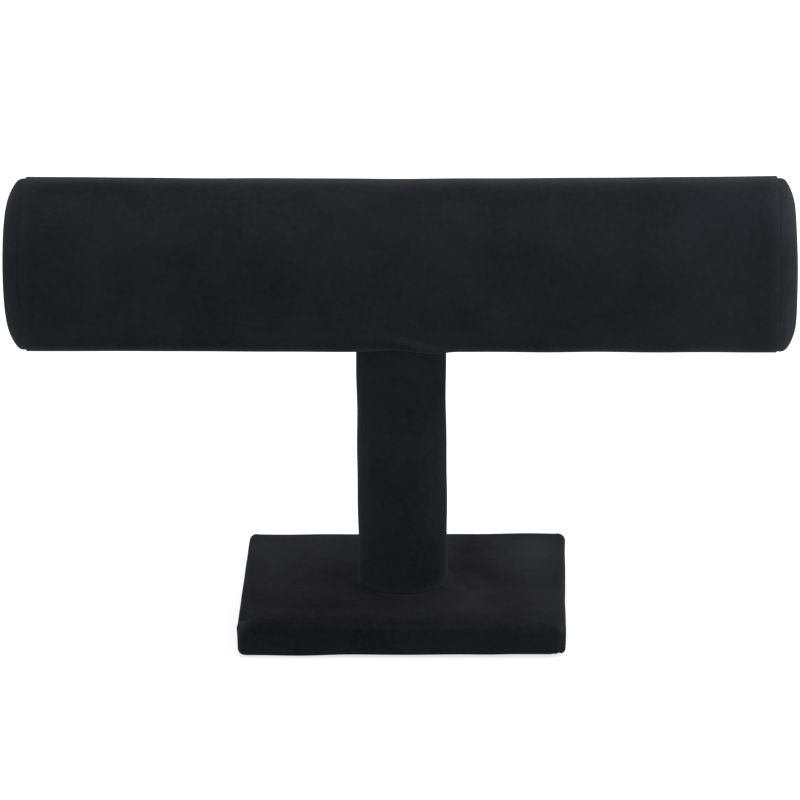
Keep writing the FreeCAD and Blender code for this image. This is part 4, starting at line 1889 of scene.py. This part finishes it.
@dataclass(frozen=True)
class EndCap:
    """The padded cap on one end of the roll."""

    # Read from the frame: the cap's radius and depth, where it starts from the middle, the
    # axis's height, the velvet's thickness, and the card's radius and how far out its front is
    side: Side
    radius: float
    depth: float
    start: float
    height: float
    cloth: float
    card: float
    card_front: float

    # The velvet's form: how deep its side is, and its roundings from the front to the heel
    side_depth: float = 0.9 * MM
    shoulder_round: float = 11.0 * MM
    rim_round: float = 2.4 * MM
    heel_round: float = 0.1 * MM
    hem: float = 9.0 * MM

    # The grid
    turn_parts: int = 168
    face_parts: int = 14
    shoulder_parts: int = 9
    rim_parts: int = 7
    heel_parts: int = 5
    hem_parts: int = 5

    # The gathers, which fade out this many times the side's depth from the roll
    gathers: int = 26
    gather_start: float = 0.4
    gather_depth: float = 0.07 * MM
    gather_fade: float = 2.2

    # How far beside the roll the seam's painted light reaches, and how the sponge fits and is
    # filled
    seam_reach: float = 1.3 * MM
    pad_play: float = 0.03 * MM
    fill: float = 0.8

    @classmethod
    def from_frame(cls, side: Side) -> EndCap:
        """Read the sizes of the construction's cap at one end.

        Args:
            side: Which end.

        Returns:
            The cap, ready to be built.
        """
        low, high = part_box(f"{side.word}_cap_velvet")
        card_low, card_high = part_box(f"{side.word}_cap_card")
        start = min(abs(low.x), abs(high.x))
        return cls(
            side=side,
            radius=half_size(f"{side.word}_cap_velvet", 2),
            depth=high.x - low.x,
            start=start,
            height=middle_height(f"{side.word}_cap_velvet"),
            cloth=min(abs(card_low.x), abs(card_high.x)) - start,
            card=half_size(f"{side.word}_cap_card", 2),
            card_front=max(abs(card_low.x), abs(card_high.x)) - start,
        )

    @property
    def turns(self) -> Array:
        """The angles of the columns once round the cap, from the bottom by way of +Y."""
        return np.linspace(0, 2 * math.pi, self.turn_parts, endpoint=False)

    def front(self, inset: float) -> Outline:
        """The section from the middle of the front over shoulder and rim to the side.

        It is given as radius and distance out from the roll's end. The shoulder's centre lies
        its radius behind the front, and as far from the rim's centre as the radii differ, so
        that the two arcs run into one another.

        Args:
            inset: How far inside the cap's outer surface the section lies.

        Returns:
            The section.
        """
        rim_middle = (self.radius - self.rim_round, self.side_depth)
        behind = self.depth - self.shoulder_round
        ahead = rim_middle[1] - behind
        apart = self.shoulder_round - self.rim_round
        middle = (rim_middle[0] - math.sqrt(apart**2 - ahead**2), behind)
        meet = math.degrees(math.asin(ahead / apart))
        face = self.depth - inset
        return Outline.joined(
            Outline.straight((0.0, face), (middle[0], face), self.face_parts),
            Outline.arc(middle, self.shoulder_round - inset, 90, meet, self.shoulder_parts),
            Outline.arc(rim_middle, self.rim_round - inset, meet, 0, self.rim_parts),
        )

    def around(self, section: Array) -> Array:
        """Carry a section once round the roll's axis, bulged by the padding behind it.

        The crown adds its height times the square of one minus the squared share of the
        radius. The sag adds its own times the height below the axis, as a share of the
        radius. Both grow from nought at the card to their full size at the front.

        Args:
            section: Radii and distances out from the roll's end.

        Returns:
            Rows by columns by 3.
        """
        radius, out = section[:, :1], section[:, 1:]
        share = radius / self.radius
        slump = SLUMPS[self.side]
        bulge = slump.crown * (1 - share**2) ** 2 + slump.sag * share * np.cos(self.turns)
        soft = smooth_step((out - self.card_front) / (self.depth - self.card_front))
        x = self.side.value * (self.start + out + bulge * soft)
        return round_roll(x, radius, self.turns, self.height)

    def section(self) -> Outline:
        """The velvet's whole section: the front, the side, the heel and the gathered hem.

        Returns:
            The section, as radii and distances out from the roll's end.
        """
        heel, edge = self.heel_round, self.radius
        return Outline.joined(
            self.front(0.0),
            Outline.straight((edge, self.side_depth), (edge, heel), 1),
            Outline.arc((edge - heel, heel), heel, 0, -90, self.heel_parts),
            Outline.straight((edge - heel, 0.0), (edge - self.hem, 0.0), self.hem_parts),
        )

    def velvet(self) -> Cover:
        """The cloth over the cap, gathered behind it.

        The gathers are a cosine round the cap that presses the face in, fully on the hem and
        less and less along the side up to the rim.

        Returns:
            The finished cloth.
        """
        outline = self.section()
        out, normals = outline.points[:, 1:], outline.normals
        face = self.around(outline.points)
        back = self.around(outline.inside(self.cloth))
        outward = round_roll(self.side.value * normals[:, 1:], normals[:, :1], self.turns)
        flat = round_roll(0.0, outline.run()[:, None], self.turns)[..., 1:]
        slump = SLUMPS[self.side]
        gathered = smooth_step(1 - out / (self.gather_fade * self.side_depth))
        wave = (1 + np.cos(self.gathers * self.turns + self.gather_start)) / 2
        lift = MM * summed(slump.puffs, flat[..., 0], flat[..., 1])
        lift = lift - self.gather_depth * gathered * wave
        nap = summed(slump.nap_marks, flat[..., 0], flat[..., 1])
        # Painted light all over the cap, and more next to the roll, where it lifts the seam's shade
        nap = nap + slump.nap + slump.seam_nap * bell(out, self.seam_reach)
        raised = face + outward * lift[..., None]
        sheet = Sheet(raised, back, flat, nap, ring=True, pole=True)
        return in_velvet(sheet, f"{self.side.word}_cap_velvet")

    def pad(self) -> Cover:
        """The sponge: from the velvet's inside to the card, and over the card's edge.

        Its back has a row for each row of its front. Most go across the card's face, and the
        last ones down its edge.

        Returns:
            The finished sponge.
        """
        heel = self.cloth + self.pad_play
        front = self.front(heel).points
        front = np.concatenate((front, ((front[-1, 0], heel),)))
        edge, face = self.card + self.pad_play, self.card_front + self.pad_play
        across = np.linspace(0, edge, len(front) - 2)
        behind = np.stack((across, np.full_like(across, face)), axis=1)
        down = np.array(((edge, (face + heel) / 2), (edge, heel)))
        back = self.around(np.concatenate((behind, down)))
        points = self.around(front)
        nap = np.zeros(points.shape[:2])
        sheet = Sheet(points, back, points[..., 1:], nap, ring=True, pole=True)
        piece = sheet.build(f"{self.side.word}_cap_sponge")
        return Cover(piece, f"{self.side.word}_cap_pad", "sponge", Sponge())

    def flat_size(self) -> FlatPlace:
        """The square that the cloth is cut from."""
        disc = self.section().run()[-1]
        return 2 * disc, 2 * disc

    def flat_area(self) -> float:
        """The area of the disc that the cloth is."""
        return math.pi * self.section().run()[-1] ** 2


def dress_construction(nodes: dict[str, bpy.types.Object]) -> None:
    """Give the construction nodes that stay their real finishes.

    Args:
        nodes: The construction's objects by name.
    """
    finishes: dict[str, Finish] = {
        "base_liner": BLACK_CARD,
        "base_board": RAW_FIBREBOARD,
        "base_screws": ZincSteel(),
        "post_dowel": Timber("upright_hardwood", Grain.UPRIGHT),
        "roll_tube": WOUND_PAPERBOARD,
        "backing_block": Timber("lying_hardwood", Grain.ALONG),
        "roll_screws": ZincSteel(),
    }
    for side in Side:
        finishes[f"{side.word}_end_plug"] = RAW_FIBREBOARD
        finishes[f"{side.word}_cap_card"] = WOUND_PAPERBOARD
    for name, finish in finishes.items():
        for slot in nodes[name].material_slots:
            slot.material = finish.material()
        LOG.info("%s: %s", name, finish.name)


# Studio


@dataclass(frozen=True)
class Viewpoint:
    """The camera, placed by its lens, its distance and its angles to what it looks at."""

    focal_length: float = 247.5
    sensor: float = 36.0
    pitch: float = 20.288
    yaw: float = 1.735
    roll: float = -0.578
    aim: Place = (-0.713 * MM, 0.0, 68.751 * MM)
    distance: float = 1669.845 * MM

    def build(self) -> bpy.types.Object:
        """Make the camera and make it the scene's own.

        Its way ahead points down by the pitch and to the left by the yaw. The way to its
        right is level, and both it and the way up are then turned by the roll.

        Returns:
            The camera.
        """
        pitch, yaw, roll = (math.radians(x) for x in (self.pitch, self.yaw, self.roll))
        ahead = Vector(
            (-math.sin(yaw) * math.cos(pitch), math.cos(yaw) * math.cos(pitch), -math.sin(pitch))
        )
        level = Vector((math.cos(yaw), math.sin(yaw), 0.0))
        upright = level.cross(ahead)
        right = level * math.cos(roll) + upright * math.sin(roll)
        above = upright * math.cos(roll) - level * math.sin(roll)
        lens = bpy.data.cameras.new("camera")
        lens.lens = self.focal_length
        lens.sensor_width = self.sensor
        camera = linked("camera", lens)
        facing = Matrix((right, above, -ahead)).transposed().to_4x4()
        camera.matrix_world = Matrix.Translation(Vector(self.aim) - ahead * self.distance) @ facing
        bpy.context.scene.camera = camera
        return camera


@dataclass(frozen=True)
class Lamp:
    """A soft white rectangular lamp that shines from one place towards another."""

    name: str
    place: Place
    size: Range
    power: float
    aim: Place = (0.0, 0.0, 80 * MM)

    def build(self) -> bpy.types.Object:
        """Make the lamp.

        Returns:
            The lamp.
        """
        light = bpy.data.lights.new(self.name, "AREA")
        light.shape = "RECTANGLE"
        light.size, light.size_y = self.size
        light.energy = self.power
        lamp = linked(self.name, light)
        lamp.location = self.place
        way = Vector(self.aim) - Vector(self.place)
        lamp.rotation_euler = way.to_track_quat("-Z", "Y").to_euler()
        return lamp


@dataclass(frozen=True)
class Studio:
    """A plain pale table under soft light.

    Attributes:
        surround: The strength of the even light from all sides.
        floor_half: Half of the table's length and width.
        floor_tone: How pale the table is where it takes light and shadow for the camera.
        floor_glow: What it gives off besides, near the stand.
        glow_near: How far from the stand it still gives off just that.
        glow_far: How far from the stand it gives off full white.
        floor_bounce: The colour that the table throws back onto the stand.
        lamps: The lamps.
    """

    surround: float = 0.33
    floor_half: float = 6.0
    floor_tone: float = 0.34
    floor_glow: float = 0.72
    glow_near: float = 0.3
    glow_far: float = 0.8
    floor_bounce: Colour = (0.80, 0.80, 0.80)
    lamps: tuple[Lamp, ...] = (
        Lamp("top", (0.0, 0.1, 1.3), (1.0, 1.0), 11.5),
        Lamp("back", (0.0, 1.3, 0.75), (1.6, 0.8), 19.0),
        Lamp("left", (-1.1, -0.1, 0.45), (0.8, 0.8), 5.0),
        Lamp("right", (0.8, -0.1, 0.4), (0.6, 0.6), 6.2),
        Lamp("front", (0.0, -1.9, 0.45), (1.2, 0.8), 5.0),
    )

    def build(self) -> None:
        """Make the floor, the surround, the lamps and the camera."""
        self.floor()
        self.world()
        for lamp in self.lamps:
            lamp.build()
        Viewpoint().build()
        LOG.info("studio: floor, surround, %d lamps and camera", len(self.lamps))

    def seen(self, nodes: Nodes) -> bpy.types.NodeSocket:
        """Whether a ray comes from the camera, off a gloss or through glass.

        Args:
            nodes: The node tree that asks.

        Returns:
            A value of 1 if it does.
        """
        path = nodes.add("LightPath").outputs
        shiny = nodes.maths("MAXIMUM", path["Is Glossy Ray"], path["Is Transmission Ray"])
        return nodes.maths("MAXIMUM", path["Is Camera Ray"], shiny)

    def floor(self) -> None:
        """The table: a flat sheet that lets the camera through from beneath."""
        half = self.floor_half
        mesh = bpy.data.meshes.new("floor")
        corners = [(-half, -half, 0), (half, -half, 0), (half, half, 0), (-half, half, 0)]
        mesh.from_pydata(corners, [], [(0, 1, 2, 3)])
        made = bpy.data.materials.new("white_table")
        nodes = Nodes.of(made)
        beneath = nodes.add("NewGeometry").outputs["Backfacing"]
        above = self.table_top(nodes)
        clear = nodes.shader("BsdfTransparent", {})
        surface = nodes.shader("MixShader", {0: beneath, 1: above, 2: clear})
        nodes.add("OutputMaterial", {"Surface": surface})
        mesh.materials.append(made)
        linked("floor", mesh)

    def table_top(self, nodes: Nodes) -> bpy.types.NodeSocket:
        """A plain pale surface that to the camera looks white and keeps the stand's shadow.

        Args:
            nodes: The table's node tree.

        Returns:
            What the surface puts out.
        """
        bounce = nodes.shader("BsdfDiffuse", {"Color": self.floor_bounce})
        shade = nodes.shader("BsdfDiffuse", {"Color": (self.floor_tone,) * 3})
        far = nodes.add("VectorMath", {0: nodes.place()}, operation="LENGTH").outputs["Value"]
        brighter = {
            "Value": far,
            "From Min": self.glow_near,
            "From Max": self.glow_far,
            "To Min": self.floor_glow,
        }
        strength = nodes.add("MapRange", brighter).outputs["Result"]
        glow = nodes.shader("Emission", {"Strength": strength})
        white = nodes.shader("AddShader", {0: shade, 1: glow})
        return nodes.shader("MixShader", {0: self.seen(nodes), 1: bounce, 2: white})

    def world(self) -> None:
        """The surround: even soft light on the stand, plain white to the camera."""
        world = bpy.data.worlds.new("surround")
        bpy.context.scene.world = world
        nodes = Nodes.of(world)
        light = nodes.shader("Background", {"Color": WHITE, "Strength": self.surround})
        white = nodes.shader("Background", {"Color": WHITE, "Strength": 1.0})
        mixed = nodes.shader("MixShader", {0: self.seen(nodes), 1: light, 2: white})
        nodes.add("OutputWorld", {"Surface": mixed})


def main() -> None:
    """Build the stand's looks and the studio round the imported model."""
    logging.basicConfig(level=logging.INFO, format="%(name)s %(message)s")
    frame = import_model()
    bpy.context.scene.view_settings.view_transform = "Standard"

    base = Base.from_frame()
    cloth = base.velvet().seat()
    area = base.flat_area()
    base.flat_size()

    post = Post.from_frame()
    cloth = post.velvet().seat()
    post.flat_size()

    roll = Roll.from_frame()
    cloth = roll.velvet().seat()
    roll.flat_size()

    for side in Side:
        cap = EndCap.from_frame(side)
        sponge = cap.pad().seat()
        cloth = cap.velvet().seat()
        area = cap.flat_area()
        cap.flat_size()

    dress_construction(frame["nodes"])
    Studio().build()


if __name__ == "__main__":
    main()
